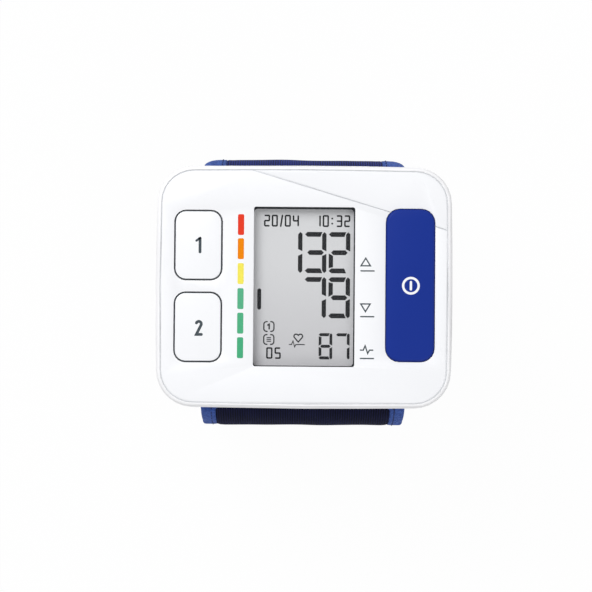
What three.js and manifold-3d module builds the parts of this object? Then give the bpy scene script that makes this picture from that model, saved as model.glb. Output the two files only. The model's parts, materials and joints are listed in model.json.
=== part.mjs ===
// Wrist blood pressure monitor, in millimetres, +Z up.
// The display faces +Z and its top edge is toward +Y. The monitor stands on the flat underside of its cuff,
// whose loop runs round the X axis. The origin is the middle of that underside.

import * as THREE from 'three';
import { mergeVertices } from 'three/addons/utils/BufferGeometryUtils.js';
import Module from 'manifold-3d';

const { degToRad, radToDeg, lerp } = THREE.MathUtils;
const wasm = await Module();
wasm.setup();

// Clearances
const seatGap = 0.3; // between two pieces that rest on each other
const runningGap = 0.3; // round a piece that moves in an opening
const cutOverrun = 1; // how far a cutting solid passes the face that it opens

// Display window and the columns beside it
const windowWidth = 27.9;
const windowLength = 44;
const windowCorner = 0.6;
const columnGap = 8.85; // window to keys, where the scale bars and the unit marks are printed
const sideMargin = 4.2; // keys to the edge of the face panel
const endMargin = 10.4; // window to the ends of the face panel

// Keys
const keyWidth = 12.8;
const keyLength = 18.9;
const keyCorner = 3;
const keySpacing = 3.65;
const keyRise = 0.15; // how far a key stands above the face
const keyTravel = 0.5;
const startWidth = 13.1;
const startLength = 41.7;
const startShift = 0.6; // how far its middle lies from the window's middle, toward the far edge
const startCorner = 3.6;
const startRise = 0.5;
const keyEdgeRound = 0.4;
const startEdgeRound = 0.6;
const flangeMargin = 1.1; // how far a key's flange reaches under the shell
const flangeThickness = 1;
const keyPostRadius = 2;
const keyPostLength = 1.7;

// Shells and face panel
const wall = 1.8;
const panelThickness = 1;
const panelCorner = 9;
const panelEdgeRound = 0.2;
const rimWidth = 1.2; // from the outer side wall to the panel's recess
const rimLand = 0.35; // flat top of the rim beside the panel
const rimDrop = 2.6; // height over which the rim rolls down to the side wall
const sideBow = 0.28; // how far each side bulges at its middle
const backRound = 3.5;
const grooveWidth = 0.35;
const grooveDepth = 0.3;
const grooveStart = 4.75; // how far left of the window the groove meets the panel's far edge
const grooveFall = 17; // how far it drops on its way to the right edge
const grooveSag = 0.1; // how far its middle lies above the straight line between its ends

// Display
const lensThickness = 0.8;
const lensMargin = 0.8; // how far the lens reaches past the window on each side
const lensLedge = 0.7;
const displayMargin = 1.3; // how far the display glass reaches past the window
const displayThickness = 2.2;
const holderWall = 1.5;
const holderLedge = 1.2; // how far the holder reaches under the display glass
const stripWidth = 2;
const stripInset = 2.4; // connector strips, in from the ends of the display glass

// Cells, battery bay and door
const cellDiameter = 10.5;
const cellLength = 44.5;
const cellNubRadius = 1.9;
const cellNubHeight = 0.9;
const cellEdgeRound = 0.5;
const bayClearance = 0.4;
const contactThickness = 0.4;
const contactBulge = 1.1; // room for the sprung bulge of a contact
const bayWall = 1.2;
const bayEndMargin = 8; // least room from the contacts to the end of the face panel, for the round corners
const doorSill = 2.2; // lower edge of the door opening above the back face
const doorMargin = 0.5; // how far the door reaches past the ends of the cells
const hingeBarrelRadius = 1.5;
const hingePinRadius = 0.6;
const hingePinLength = 1;
const hingeEar = 2; // length of the shell's ears that hold the pins
const earWall = 0.8;
const fingerScoopRadius = 5;
const fingerScoopDepth = 0.7;

// Chassis and circuit board
const chassisThickness = 1.2;
const chassisPostHeight = 1.3;
const chassisPostRadius = 2.1;
const boardThickness = 1.2;
const boardCorner = 2;
const boardScrewRadius = 0.8;
const boardScrewLength = 2.6;
const boardScrewHeadRadius = 1.7;
const boardScrewHeadHeight = 1;

// Key switches
const switchSize = 6;
const switchHeight = 2.6;
const stemRadius = 1.6;
const stemRise = 1.5;
const stemDepth = 0.9;

// Case screws and their posts
const postRadius = 2.4;
const postOffset = 4.3; // posts, out from the centres of the corner rounds
const caseScrewRadius = 1;
const caseScrewLength = 19;
const caseScrewHeadRadius = 1.9;
const caseScrewHeadHeight = 1.6;

// Pneumatics
const motorRadius = 5.6;
const motorLength = 18;
const motorFlat = 0.5;
const motorBoss = 1; // how far the motor's bearing stands out
const sleeveThickness = 0.7;
const pumpHeadLength = 11;
const pumpHeadSize = 12.4;
const pumpCentreY = -17;
const pumpHeadX = -4;
const portRadius = 1.5;
const portLength = 2.4;
const hoseRadius = 1.9;
const valveRadius = 4.4;
const valveLength = 12;
const valveX = 19;
const valveY = 16;
const manifoldSize = 8.4;
const manifoldHeight = 5;
const manifoldX = 2;
const manifoldY = 5;
const nozzleRadius = 2.2;
const nozzleBore = 1;
const nozzleFlangeRadius = 4.2;
const nozzleFlangeThickness = 0.8;
const sensorSize = 7;
const sensorHeight = 3;

// Other parts on the circuit board
const chipSize = 10;
const chipThickness = 0.9;
const capacitorRadius = 2.5;
const capacitorHeight = 5.4;
const crystalLength = 8;
const crystalWidth = 3;
const crystalHeight = 2.4;

// Cuff
const cuffWidth = 60;
const cuffProud = 6.3; // how far the loop reaches past the housing at each end
const loopRadius = 26;
const loopStraight = 6; // straight stretch between the upper and the lower round
const fabricThickness = 0.9;
const stiffenerThickness = 0.7;
const bladderThickness = 1.3;
const liningThickness = 0.8;
const crownWidth = 4.3; // over which the padded middle falls to the flat hem
const hemWidth = 4.8;
const bindingThickness = 0.6;
const bindingWidth = 5.4;
const bindingRound = 0.8;
const tabDrop = 3; // how far the landing tab hangs below its round
const padEndInset = 2.5; // stiffener and bladder stop short of the cuff's end
const stiffenerReach = 8; // how far the stiffener runs past the middle of the top, toward -Y

// Closing strap
const tailThickness = 1.8;
const tailEdgeThickness = 1.1;
const tailEdgeWidth = 3;
const hookThickness = 0.9;
const hookMargin = 7; // hook patch, in from the strap's sides
const hookEndMargin = 2;
const hingeAngle = 48; // where on the lower round the strap hinges, in degrees from straight down
const tailEndAngle = 45; // where on the upper round the strap ends, in degrees from level

// Saddle between the housing and the cuff
const saddleThickness = 1.6;
const saddleHalfLength = 24;
const saddleSideInset = 3;
const saddleCorner = 7;
const hookStem = 1.2;
const hookLength = 5;
const hookCatch = 1; // how far a saddle hook reaches over the shell's inner face
const hookHead = 1;
const saddleHookLeft = 12.5; // hooks to the left of the middle, clear of the cells
const saddleHookRight = 25;
const saddleHookY = 5.5;

// Counts of facets
const bodyCornerSteps = 7;
const keyCornerSteps = 5;
const sideSteps = 4;
const roundSteps = 4;
const smallCircle = 12;
const mediumCircle = 20;
const loopStepsPerQuarter = 8;
const hoseSides = 8;
const hoseSteps = 6;

// Heights above the housing's back face, from the back to the face
const cellAxisHeight = wall + bayClearance + cellDiameter / 2;
const cellTop = cellAxisHeight + cellDiameter / 2;
const hingeHeight = cellTop + hingeBarrelRadius;
const rearTop = hingeHeight + hingeBarrelRadius;
const frontBottom = rearTop + seatGap;
const chassisBottom = cellTop + bayClearance;
const chassisTop = chassisBottom + chassisThickness;
const boardBottom = chassisTop + chassisPostHeight + seatGap;
const boardTop = boardBottom + boardThickness;
const switchBottom = boardTop + seatGap;
const switchTop = switchBottom + switchHeight;
const stemTop = switchTop + stemRise;
const keyPostBottom = stemTop + seatGap;
const flangeBottom = keyPostBottom + keyPostLength;
const flangeTop = flangeBottom + flangeThickness;
const plateBottom = flangeTop + seatGap;
const lensBottom = plateBottom + lensLedge + seatGap;
const plateTop = lensBottom + lensThickness;
const panelBottom = plateTop + seatGap;
const faceHeight = panelBottom + panelThickness;
const displayTop = plateBottom - seatGap;
const displayBottom = displayTop - displayThickness;
const innerFloor = wall + seatGap;

// Length of the battery bay
const bayHalfLength = cellLength / 2 + seatGap + contactBulge;
const contactOuterY = bayHalfLength + contactThickness;
const doorHalfLength = cellLength / 2 + doorMargin;

// Plan of the housing, whose length follows from the window or from the cells, whichever needs more
const columnCentre = windowWidth / 2 + columnGap + keyWidth / 2;
const keyCentreY = (keyLength + keySpacing) / 2;
const panelHalfWidth = columnCentre + keyWidth / 2 + sideMargin;
const panelHalfLength = Math.max(windowLength / 2 + endMargin, contactOuterY + bayEndMargin);
const bodyHalfWidth = panelHalfWidth + rimWidth;
const bodyHalfLength = panelHalfLength + rimWidth;
const bodyCorner = panelCorner + rimWidth;
const postX = bodyHalfWidth - sideBow - bodyCorner + postOffset;
const postY = bodyHalfLength - sideBow - bodyCorner + postOffset;
const boardHalfWidth = postX - postRadius - seatGap * 2;
const boardHalfLength = bodyHalfLength - sideBow - wall - seatGap * 2;

// Battery bay, seen from above
const cellOuterX = -(bodyHalfWidth - wall - bayClearance - cellDiameter / 2);
const cellInnerX = cellOuterX + cellDiameter + bayClearance;
const bayInnerX = cellInnerX + cellDiameter / 2 + bayClearance;
const hingeX = -(bodyHalfWidth - hingeBarrelRadius);

// Cuff, seen from its side
const loopHeight = 2 * loopRadius + loopStraight;
const upperRoundZ = loopHeight - loopRadius;
const lowerRoundZ = loopRadius;
const cuffReach = bodyHalfLength + cuffProud;
const flatHalf = cuffReach - loopRadius;
const tailStack = tailThickness + seatGap + hookThickness + seatGap;
const tabFlatHalf = flatHalf - tailStack;
const stiffenerDepth = fabricThickness + seatGap;
const bladderDepth = stiffenerDepth + stiffenerThickness + seatGap;
const liningDepth = bladderDepth + bladderThickness + seatGap;
const cuffThickness = liningDepth + liningThickness;
const hemStack = fabricThickness + seatGap + liningThickness;
const hemDepth = (cuffThickness - hemStack) / 2;
const fabricHalf = cuffWidth / 2 - bindingThickness - seatGap;
const crownStart = fabricHalf - hemWidth - crownWidth;
const housingBase = loopHeight + seatGap + saddleThickness + seatGap;

// Materials
const material = (color, roughness, metalness = 0) =>
  new THREE.MeshStandardMaterial({ color, roughness, metalness });
const glossWhite = material('#f7f7f9', 0.3);
const shellWhite = material('#f2f2f4', 0.42);
const startBlue = material('#1c3a90', 0.35);
const chassisGrey = material('#b9bcc0', 0.6);
const clearLens = material('#dfe6ea', 0.05);
const displayGrey = material('#d0d1d3', 0.25);
const blackRubber = material('#26282b', 0.8);
const boardGreen = material('#1f6b45', 0.5);
const blackPlastic = material('#1d1e20', 0.5);
const steel = material('#b8babd', 0.3, 1);
const nickel = material('#c9c6bd', 0.3, 1);
const motorSteel = material('#a6a8ab', 0.35, 1);
const siliconeClear = material('#d9dcdc', 0.5);
const cellJacket = material('#3a3d42', 0.4);
const navyFabric = material('#1d2862', 0.95);
const liningFabric = material('#20263f', 0.95);
const bindingNavy = material('#2a3570', 0.9);
const hookNavy = material('#151b3c', 0.95);
const bladderFilm = material('#8d93a0', 0.5);
const stiffenerWhite = material('#d8dadd', 0.5);

// Closed outlines, counter-clockwise, as lists of points

function arcPoints(centreX, centreY, radius, fromDegrees, toDegrees, steps) {
  const points = [];
  for (let i = 0; i <= steps; i++) {
    const angle = degToRad(lerp(fromDegrees, toDegrees, i / steps));
    points.push(new THREE.Vector2(centreX + radius * Math.cos(angle), centreY + radius * Math.sin(angle)));
  }
  return points;
}

function circle(radius, centreX = 0, centreY = 0, steps = smallCircle) {
  return arcPoints(centreX, centreY, radius, 0, 360, steps).slice(0, -1);
}

function rectangle(minX, maxX, minY, maxY) {
  return [[minX, minY], [maxX, minY], [maxX, maxY], [minX, maxY]].map(([x, y]) => new THREE.Vector2(x, y));
}

// A rectangle with round corners, moved to a centre
function roundedRectangle(halfWidth, halfLength, corner, steps, centreX = 0, centreY = 0) {
  const x = halfWidth - corner;
  const y = halfLength - corner;
  return [
    ...arcPoints(centreX + x, centreY - y, corner, -90, 0, steps),
    ...arcPoints(centreX + x, centreY + y, corner, 0, 90, steps),
    ...arcPoints(centreX - x, centreY + y, corner, 90, 180, steps),
    ...arcPoints(centreX - x, centreY - y, corner, 180, 270, steps),
  ];
}

// The housing's outline, drawn in by an inset: round corners, and sides that bulge a little at their middle
function bodyOutline(inset) {
  const halfWidth = bodyHalfWidth - sideBow - inset;
  const halfLength = bodyHalfLength - sideBow - inset;
  const corner = bodyCorner - inset;
  const x = halfWidth - corner;
  const y = halfLength - corner;
  const points = [];
  const addSide = (fromX, fromY, toX, toY, outX, outY) => {
    for (let i = 1; i < sideSteps; i++) {
      const share = i / sideSteps;
      const bulge = sideBow * (1 - (2 * share - 1) ** 2);
      points.push(new THREE.Vector2(
        lerp(fromX, toX, share) + outX * bulge,
        lerp(fromY, toY, share) + outY * bulge,
      ));
    }
  };
  points.push(...arcPoints(x, -y, corner, -90, 0, bodyCornerSteps));
  addSide(halfWidth, -y, halfWidth, y, 1, 0);
  points.push(...arcPoints(x, y, corner, 0, 90, bodyCornerSteps));
  addSide(x, halfLength, -x, halfLength, 0, 1);
  points.push(...arcPoints(-x, y, corner, 90, 180, bodyCornerSteps));
  addSide(-halfWidth, y, -halfWidth, -y, -1, 0);
  points.push(...arcPoints(-x, -y, corner, 180, 270, bodyCornerSteps));
  addSide(-x, -halfLength, x, -halfLength, 0, -1);
  return points;
}

// Solids as closed meshes

// Rings are lists of 3-D points with equal counts, each counter-clockwise seen from the last ring's side
function skinRings(rings) {
  const count = rings[0].length;
  const positions = rings.flat().flatMap(point => [point.x, point.y, point.z]);
  const indices = [];
  for (let r = 0; r + 1 < rings.length; r++) {
    for (let i = 0; i < count; i++) {
      const next = (i + 1) % count;
      const a = r * count + i;
      const b = r * count + next;
      const c = a + count;
      const d = b + count;
      indices.push(a, b, d, a, d, c);
    }
  }
  return { positions, indices, count };
}

function closedGeometry(positions, indices) {
  const geometry = new THREE.BufferGeometry();
  geometry.setAttribute('position', new THREE.Float32BufferAttribute(positions, 3));
  geometry.setIndex(indices);
  return geometry;
}

// A solid through stacked level outlines, each given with its height from low to high
function loft(layers) {
  const rings = layers.map(({ outline, z }) => outline.map(point => new THREE.Vector3(point.x, point.y, z)));
  const { positions, indices, count } = skinRings(rings);
  const last = (rings.length - 1) * count;
  for (const [a, b, c] of THREE.ShapeUtils.triangulateShape(layers[0].outline, [])) {
    indices.push(a, c, b);
  }
  for (const [a, b, c] of THREE.ShapeUtils.triangulateShape(layers.at(-1).outline, [])) {
    indices.push(last + a, last + b, last + c);
  }
  return closedGeometry(positions, indices);
}

function prism(outline, bottom, top) {
  return loft([{ outline, z: bottom }, { outline, z: top }]);
}

// A prism whose outline lies in the YZ plane and which runs along X
function prismAlongX(outline, minX, maxX) {
  const turned = prism(outline, minX, maxX);
  turned.applyMatrix4(new THREE.Matrix4().set(0, 0, 1, 0, 1, 0, 0, 0, 0, 1, 0, 0, 0, 0, 0, 1));
  return turned;
}

// A prism whose outline lies in the ZX plane (first Z, then X) and which runs along Y
function prismAlongY(outline, minY, maxY) {
  const turned = prism(outline, minY, maxY);
  turned.applyMatrix4(new THREE.Matrix4().set(0, 1, 0, 0, 0, 0, 1, 0, 1, 0, 0, 0, 0, 0, 0, 1));
  return turned;
}

function box(minX, maxX, minY, maxY, minZ, maxZ) {
  return prism(rectangle(minX, maxX, minY, maxY), minZ, maxZ);
}

function solidOf(geometry) {
  const bare = geometry.clone();
  bare.deleteAttribute('normal');
  bare.deleteAttribute('uv');
  const merged = mergeVertices(bare);
  return new wasm.Manifold(new wasm.Mesh({
    numProp: 3,
    vertProperties: new Float32Array(merged.attributes.position.array),
    triVerts: new Uint32Array(merged.index.array),
  }));
}

function geometryOf(solid) {
  const mesh = solid.getMesh();
  return closedGeometry(Array.from(mesh.vertProperties), Array.from(mesh.triVerts));
}

const combine = (method, first, others) =>
  geometryOf(others.reduce((solid, other) => solid[method](solidOf(other)), solidOf(first)));
const join = (first, ...others) => combine('add', first, others);
const cut = (first, ...others) => combine('subtract', first, others);
const common = (first, ...others) => combine('intersect', first, others);

// A body of revolution from a profile of [radius, height] pairs that starts and ends on the axis
function revolve(profile, steps = smallCircle) {
  const points = profile.map(([radius, height]) => new THREE.Vector2(radius, height));
  return new THREE.LatheGeometry(points, steps).rotateX(Math.PI / 2);
}

function piece(name, geometry, surface, parent) {
  const mesh = new THREE.Mesh(geometry, surface);
  mesh.name = name;
  parent.add(mesh);
  return mesh;
}

// Housing

const postPlaces = [[postX, postY], [-postX, postY], [-postX, -postY], [postX, -postY]];
const keyPlaces = [
  { name: 'key_1', x: -columnCentre, y: keyCentreY },
  { name: 'key_2', x: -columnCentre, y: -keyCentreY },
];
const openingOf = (width, length, corner) => (x, y, grow) =>
  roundedRectangle(width / 2 + grow, length / 2 + grow, corner + grow, keyCornerSteps, x, y);
const keyOutline = openingOf(keyWidth, keyLength, keyCorner);
const startOutline = openingOf(startWidth, startLength, startCorner);
const windowOutline = grow =>
  roundedRectangle(windowWidth / 2 + grow, windowLength / 2 + grow, windowCorner, keyCornerSteps);

// The three openings that the keys move in, from one height to another
function keyOpenings(bottom, top) {
  const keys = keyPlaces.map(({ x, y }) => prism(keyOutline(x, y, runningGap), bottom, top));
  return [...keys, prism(startOutline(columnCentre, startShift, runningGap), bottom, top)];
}

// Outer walls of the rear shell: the side wall rolls over into the back face
function rearBody(inset, bottom, edgeRound, top) {
  const layers = [];
  for (let i = 0; i <= roundSteps; i++) {
    const angle = Math.PI / 2 * i / roundSteps;
    const drawnIn = edgeRound * (1 - Math.sin(angle));
    layers.push({ outline: bodyOutline(inset + drawnIn), z: bottom + edgeRound * (1 - Math.cos(angle)) });
  }
  layers.push({ outline: bodyOutline(inset), z: top });
  return loft(layers);
}

const rearWalls = cut(
  rearBody(0, 0, backRound, rearTop),
  rearBody(wall, wall, backRound - wall, rearTop + cutOverrun),
);

// Openings through the back wall, where the saddle's hooks snap in
const saddleHookPlaces = [-saddleHookLeft, saddleHookRight].flatMap(x =>
  [-saddleHookY, saddleHookY].map(y => [x, y]));
function hookOpening([x, y]) {
  const halfWidth = hookStem / 2 + seatGap;
  const halfLength = hookLength / 2 + seatGap;
  return box(x - halfWidth, x + halfWidth, y - halfLength, y + halfLength, -cutOverrun, wall + cutOverrun);
}

function rearShell() {
  const posts = postPlaces.map(([x, y]) => prism(circle(postRadius, x, y), wall / 2, rearTop));
  const wells = postPlaces.map(([x, y]) =>
    prism(circle(caseScrewHeadRadius + seatGap, x, y), -cutOverrun, caseScrewHeadHeight + seatGap));
  const shafts = postPlaces.map(([x, y]) =>
    prism(circle(caseScrewRadius + seatGap, x, y), 0, rearTop + cutOverrun));
  const doorOpening = box(
    -bodyHalfWidth - cutOverrun, -bodyHalfWidth + wall + backRound,
    -doorHalfLength - runningGap, doorHalfLength + runningGap,
    doorSill, rearTop + cutOverrun,
  );
  const pinSlot = hingePinRadius + runningGap;
  const earNear = doorHalfLength + runningGap;
  const earFar = earNear + hingeEar;
  const ears = [[-earFar, -earNear], [earNear, earFar]].map(([minY, maxY]) => box(
    hingeX - pinSlot, hingeX + pinSlot + earWall,
    minY, maxY,
    hingeHeight - hingeBarrelRadius, rearTop,
  ));
  const slotEnd = earNear + hingePinLength + runningGap;
  const slots = join(
    prismAlongY(circle(pinSlot, hingeHeight, hingeX), -slotEnd, slotEnd),
    box(hingeX - pinSlot, hingeX + pinSlot, -slotEnd, slotEnd, hingeHeight, rearTop + cutOverrun),
  );
  const nozzleHole = prism(
    circle(nozzleRadius + seatGap, manifoldX, manifoldY),
    -cutOverrun, wall + cutOverrun,
  );
  const hookHoles = saddleHookPlaces.map(hookOpening);
  const cradleX = pumpHeadX + pumpHeadLength + motorLength / 2;
  const cradle = [-1, 1].map(side => {
    const y = pumpCentreY + side * (motorRadius + sleeveThickness + seatGap + bayWall / 2);
    return box(
      cradleX - motorLength / 4, cradleX + motorLength / 4,
      y - bayWall / 2, y + bayWall / 2,
      wall / 2, innerFloor + motorRadius,
    );
  });
  const whole = join(cut(rearWalls, doorOpening), ...posts, ...ears, ...cradle);
  return cut(whole, ...wells, ...shafts, slots, nozzleHole, ...hookHoles);
}

// The door is the stretch of wall that its opening takes out, hung from a barrel along its upper edge
function batteryDoor() {
  const face = common(rearWalls, box(
    -bodyHalfWidth - cutOverrun, -bodyHalfWidth / 2,
    -doorHalfLength, doorHalfLength,
    doorSill + runningGap, hingeHeight,
  ));
  const round = circle(hingeBarrelRadius, hingeHeight, hingeX, mediumCircle);
  const barrel = common(
    prismAlongY(round, -doorHalfLength, doorHalfLength),
    rearBody(0, 0, backRound, rearTop + cutOverrun),
  );
  const pinEnd = doorHalfLength + runningGap + hingePinLength;
  const pins = prismAlongY(circle(hingePinRadius, hingeHeight, hingeX), -pinEnd, pinEnd);
  const scoopX = -bodyHalfWidth - fingerScoopRadius + fingerScoopDepth;
  const scoop = prismAlongY(
    circle(fingerScoopRadius, doorSill + runningGap, scoopX, mediumCircle),
    -fingerScoopRadius, fingerScoopRadius,
  );
  return cut(join(face, barrel, pins), scoop);
}

function frontShell() {
  const layers = [{ outline: bodyOutline(0), z: frontBottom }];
  for (let i = 0; i <= roundSteps; i++) {
    const angle = Math.PI / 2 * i / roundSteps;
    const drawnIn = (rimWidth - rimLand) * (1 - Math.cos(angle));
    layers.push({ outline: bodyOutline(drawnIn), z: faceHeight - rimDrop + rimDrop * Math.sin(angle) });
  }
  const hollow = prism(bodyOutline(wall), frontBottom - cutOverrun, plateBottom);
  const recess = prism(bodyOutline(rimWidth), plateTop, faceHeight + cutOverrun);
  const windowHole = prism(windowOutline(0), plateBottom - cutOverrun, plateTop + cutOverrun);
  const lensSeat = prism(windowOutline(lensMargin + seatGap), lensBottom - seatGap, plateTop + cutOverrun);
  const posts = postPlaces.map(([x, y]) => prism(circle(postRadius, x, y), frontBottom, plateTop));
  const bores = postPlaces.map(([x, y]) =>
    prism(circle(caseScrewRadius + seatGap, x, y), frontBottom - cutOverrun, plateBottom - seatGap));
  const openings = [windowHole, lensSeat, ...keyOpenings(plateBottom - cutOverrun, faceHeight)];
  return cut(join(cut(loft(layers), hollow, recess, ...openings), ...posts), ...bores);
}

// The groove is a thin curved bar: an arc of small sag from the far edge to the right edge of the panel
function grooveBar() {
  const startX = -windowWidth / 2 - grooveStart;
  const endX = panelHalfWidth + cutOverrun;
  const startY = panelHalfLength + cutOverrun;
  const count = bodyCornerSteps * 2;
  const edge = offset => {
    const points = [];
    for (let i = 0; i <= count; i++) {
      const share = i / count;
      const sag = grooveSag * (1 - (2 * share - 1) ** 2);
      points.push(new THREE.Vector2(
        lerp(startX, endX, share),
        startY - (grooveFall + cutOverrun) * share + sag + offset,
      ));
    }
    return points;
  };
  const outline = [...edge(-grooveWidth / 2), ...edge(grooveWidth / 2).reverse()];
  return prism(outline, faceHeight - grooveDepth, faceHeight + cutOverrun);
}

function facePanel() {
  const inset = rimWidth + seatGap;
  const plate = loft([
    { outline: bodyOutline(inset), z: panelBottom },
    { outline: bodyOutline(inset), z: faceHeight - panelEdgeRound },
    { outline: bodyOutline(inset + panelEdgeRound), z: faceHeight },
  ]);
  const low = panelBottom - cutOverrun;
  const high = faceHeight + cutOverrun;
  return cut(plate, prism(windowOutline(0), low, high), ...keyOpenings(low, high), grooveBar());
}

// A key cap with a rounded upper edge, a flange that holds it in the shell, and a post for its switch
function key(outline, rise, edgeRound) {
  const top = faceHeight + rise;
  const layers = [{ outline: outline(0, 0, 0), z: flangeBottom }];
  for (let i = 0; i <= roundSteps; i++) {
    const angle = Math.PI / 2 * i / roundSteps;
    const drawnIn = edgeRound * (1 - Math.cos(angle));
    layers.push({ outline: outline(0, 0, -drawnIn), z: top - edgeRound + edgeRound * Math.sin(angle) });
  }
  const flange = prism(outline(0, 0, flangeMargin), flangeBottom, flangeTop);
  const post = prism(circle(keyPostRadius), keyPostBottom, flangeTop);
  return join(loft(layers), flange, post);
}

// A switch: a square body with cut corners, bored for the round stem that moves in it
function switchBody() {
  const half = switchSize / 2;
  const body = prism(roundedRectangle(half, half, half / 3, 1), switchBottom, switchTop);
  const boreFloor = switchTop - stemDepth - keyTravel - runningGap;
  return cut(body, prism(circle(stemRadius + runningGap), boreFloor, switchTop + cutOverrun));
}

function switchStem() {
  return prism(circle(stemRadius), switchTop - stemDepth, stemTop);
}

// A screw along Z, head at its lower end when standing is 1, at its upper end when it is -1
function screw(headRadius, headHeight, shankRadius, shankLength, seat, standing) {
  const profile = [
    [0, 0],
    [headRadius, 0],
    [headRadius, headHeight],
    [shankRadius, headHeight],
    [shankRadius, headHeight + shankLength - shankRadius],
    [0, headHeight + shankLength],
  ];
  const placed = revolve(profile);
  if (standing < 0) placed.rotateX(Math.PI);
  return placed.translate(0, 0, seat);
}

// Chassis: a plate over the cells that carries the circuit board, with the walls of the battery bay under it
const boardPostPlaces = [-1, 1].flatMap(sx => [-1, 1].map(sy =>
  [sx * (boardHalfWidth - chassisPostRadius * 2), sy * (boardHalfLength - chassisPostRadius * 2)]));
const wingX = hingeX + hingeBarrelRadius + runningGap * 2;

function chassis() {
  const plate = box(
    -boardHalfWidth, boardHalfWidth, -boardHalfLength, boardHalfLength,
    chassisBottom, chassisTop,
  );
  const wing = box(wingX, -boardHalfWidth / 2, -cellLength / 2, cellLength / 2, chassisBottom, chassisTop);
  const innerWall = box(
    bayInnerX, bayInnerX + bayWall, -contactOuterY, contactOuterY,
    innerFloor, chassisTop,
  );
  const endWalls = [-1, 1].map(side => {
    const near = contactOuterY + seatGap;
    const [minY, maxY] = side > 0 ? [near, near + bayWall] : [-near - bayWall, -near];
    return box(-boardHalfWidth + bayWall, bayInnerX + bayWall, minY, maxY, innerFloor, chassisTop);
  });
  const postTop = chassisTop + chassisPostHeight;
  const posts = boardPostPlaces.map(([x, y]) =>
    prism(circle(chassisPostRadius, x, y), chassisBottom, postTop));
  const bores = boardPostPlaces.map(([x, y]) =>
    prism(circle(boardScrewRadius + seatGap, x, y), chassisBottom - cutOverrun, postTop + cutOverrun));
  const pumpGap = seatGap * 2;
  const pumpHalf = pumpHeadSize / 2 + sleeveThickness + pumpGap;
  const pumpOpening = box(
    pumpHeadX - pumpGap, pumpHeadX + pumpHeadLength + motorLength + pumpGap * 2,
    pumpCentreY - pumpHalf, pumpCentreY + pumpHalf,
    chassisBottom - cutOverrun, chassisTop + cutOverrun,
  );
  const half = sensorSize / 2 + seatGap * 2;
  const sensorOpening = box(
    manifoldX - half, manifoldX + half, manifoldY - half, manifoldY + half,
    chassisBottom - cutOverrun, chassisTop + cutOverrun,
  );
  return cut(join(plate, wing, innerWall, ...endWalls, ...posts), ...bores, pumpOpening, sensorOpening);
}

function circuitBoard() {
  const outline = roundedRectangle(boardHalfWidth, boardHalfLength, boardCorner, keyCornerSteps);
  const holes = boardPostPlaces.map(([x, y]) =>
    prism(circle(boardScrewRadius + seatGap, x, y), boardBottom - cutOverrun, boardTop + cutOverrun));
  return cut(prism(outline, boardBottom, boardTop), ...holes);
}

// Display holder: a frame on the board with a ledge under the rim of the display glass
function displayHolder() {
  const glass = displayMargin + seatGap;
  const frame = prism(windowOutline(glass + holderWall), switchBottom, displayTop);
  const pocket = prism(windowOutline(glass), displayBottom - seatGap, displayTop + cutOverrun);
  const well = prism(windowOutline(glass - holderLedge), switchBottom - cutOverrun, displayTop);
  return cut(frame, pocket, well);
}

function connectorStrip(side) {
  const y = side * (windowLength / 2 + displayMargin - stripInset - stripWidth / 2);
  const half = windowWidth / 2 - stripWidth;
  return box(-half, half, y - stripWidth / 2, y + stripWidth / 2, switchBottom, displayBottom - seatGap);
}

// A cell along Y: rolled edges, and the small round contact at its positive end
function cell() {
  const radius = cellDiameter / 2;
  const body = cellLength - cellNubHeight;
  return revolve([
    [0, 0],
    [radius - cellEdgeRound, 0],
    [radius, cellEdgeRound],
    [radius, body - cellEdgeRound],
    [radius - cellEdgeRound, body],
    [cellNubRadius, body],
    [cellNubRadius, cellLength],
    [0, cellLength],
  ], mediumCircle).rotateX(-Math.PI / 2).translate(0, -cellLength / 2, 0);
}

// A contact: a thin plate against the end wall of the bay, with a bulge pressed toward the cell
function contact(minX, maxX, side) {
  const wallY = contactOuterY;
  const plateInner = wallY - contactThickness;
  const half = cellDiameter / 2 - bayClearance;
  const bulges = [cellOuterX, cellInnerX].filter(x => x > minX && x < maxX).map(x =>
    revolve([
      [0, -contactBulge],
      [cellNubRadius, -contactBulge],
      [cellNubRadius * 2, contactThickness / 2],
      [0, contactThickness / 2],
    ]).rotateX(-Math.PI / 2).translate(x, plateInner, cellAxisHeight));
  const plate = box(minX, maxX, plateInner, wallY, cellAxisHeight - half, cellAxisHeight + half);
  const whole = join(plate, ...bulges);
  return side > 0 ? whole : whole.rotateZ(Math.PI).translate(minX + maxX, 0, 0);
}

// Pump: a can motor with two flats, a square head, and the barbed port on the head's side
const pumpAxisHeight = innerFloor + pumpHeadSize / 2;

function pumpHead() {
  const half = pumpHeadSize / 2;
  const block = prismAlongX(
    roundedRectangle(half, half, half / 4, keyCornerSteps, pumpCentreY, pumpAxisHeight),
    pumpHeadX, pumpHeadX + pumpHeadLength,
  );
  const port = prismAlongY(
    circle(portRadius, pumpAxisHeight, manifoldX),
    pumpCentreY + half / 2, pumpCentreY + half + portLength,
  );
  return join(block, port);
}

function pumpMotor() {
  const start = pumpHeadX + pumpHeadLength + seatGap;
  const end = start + motorLength;
  const can = prismAlongX(circle(motorRadius, pumpCentreY, pumpAxisHeight, mediumCircle), start, end);
  const betweenFlats = box(
    start - cutOverrun, end + cutOverrun,
    pumpCentreY - motorRadius - cutOverrun, pumpCentreY + motorRadius + cutOverrun,
    pumpAxisHeight - motorRadius + motorFlat, pumpAxisHeight + motorRadius - motorFlat,
  );
  const bearing = prismAlongX(
    circle(motorRadius / 3, pumpCentreY, pumpAxisHeight),
    start + motorLength / 2, end + motorBoss,
  );
  return join(common(can, betweenFlats), bearing);
}

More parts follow.
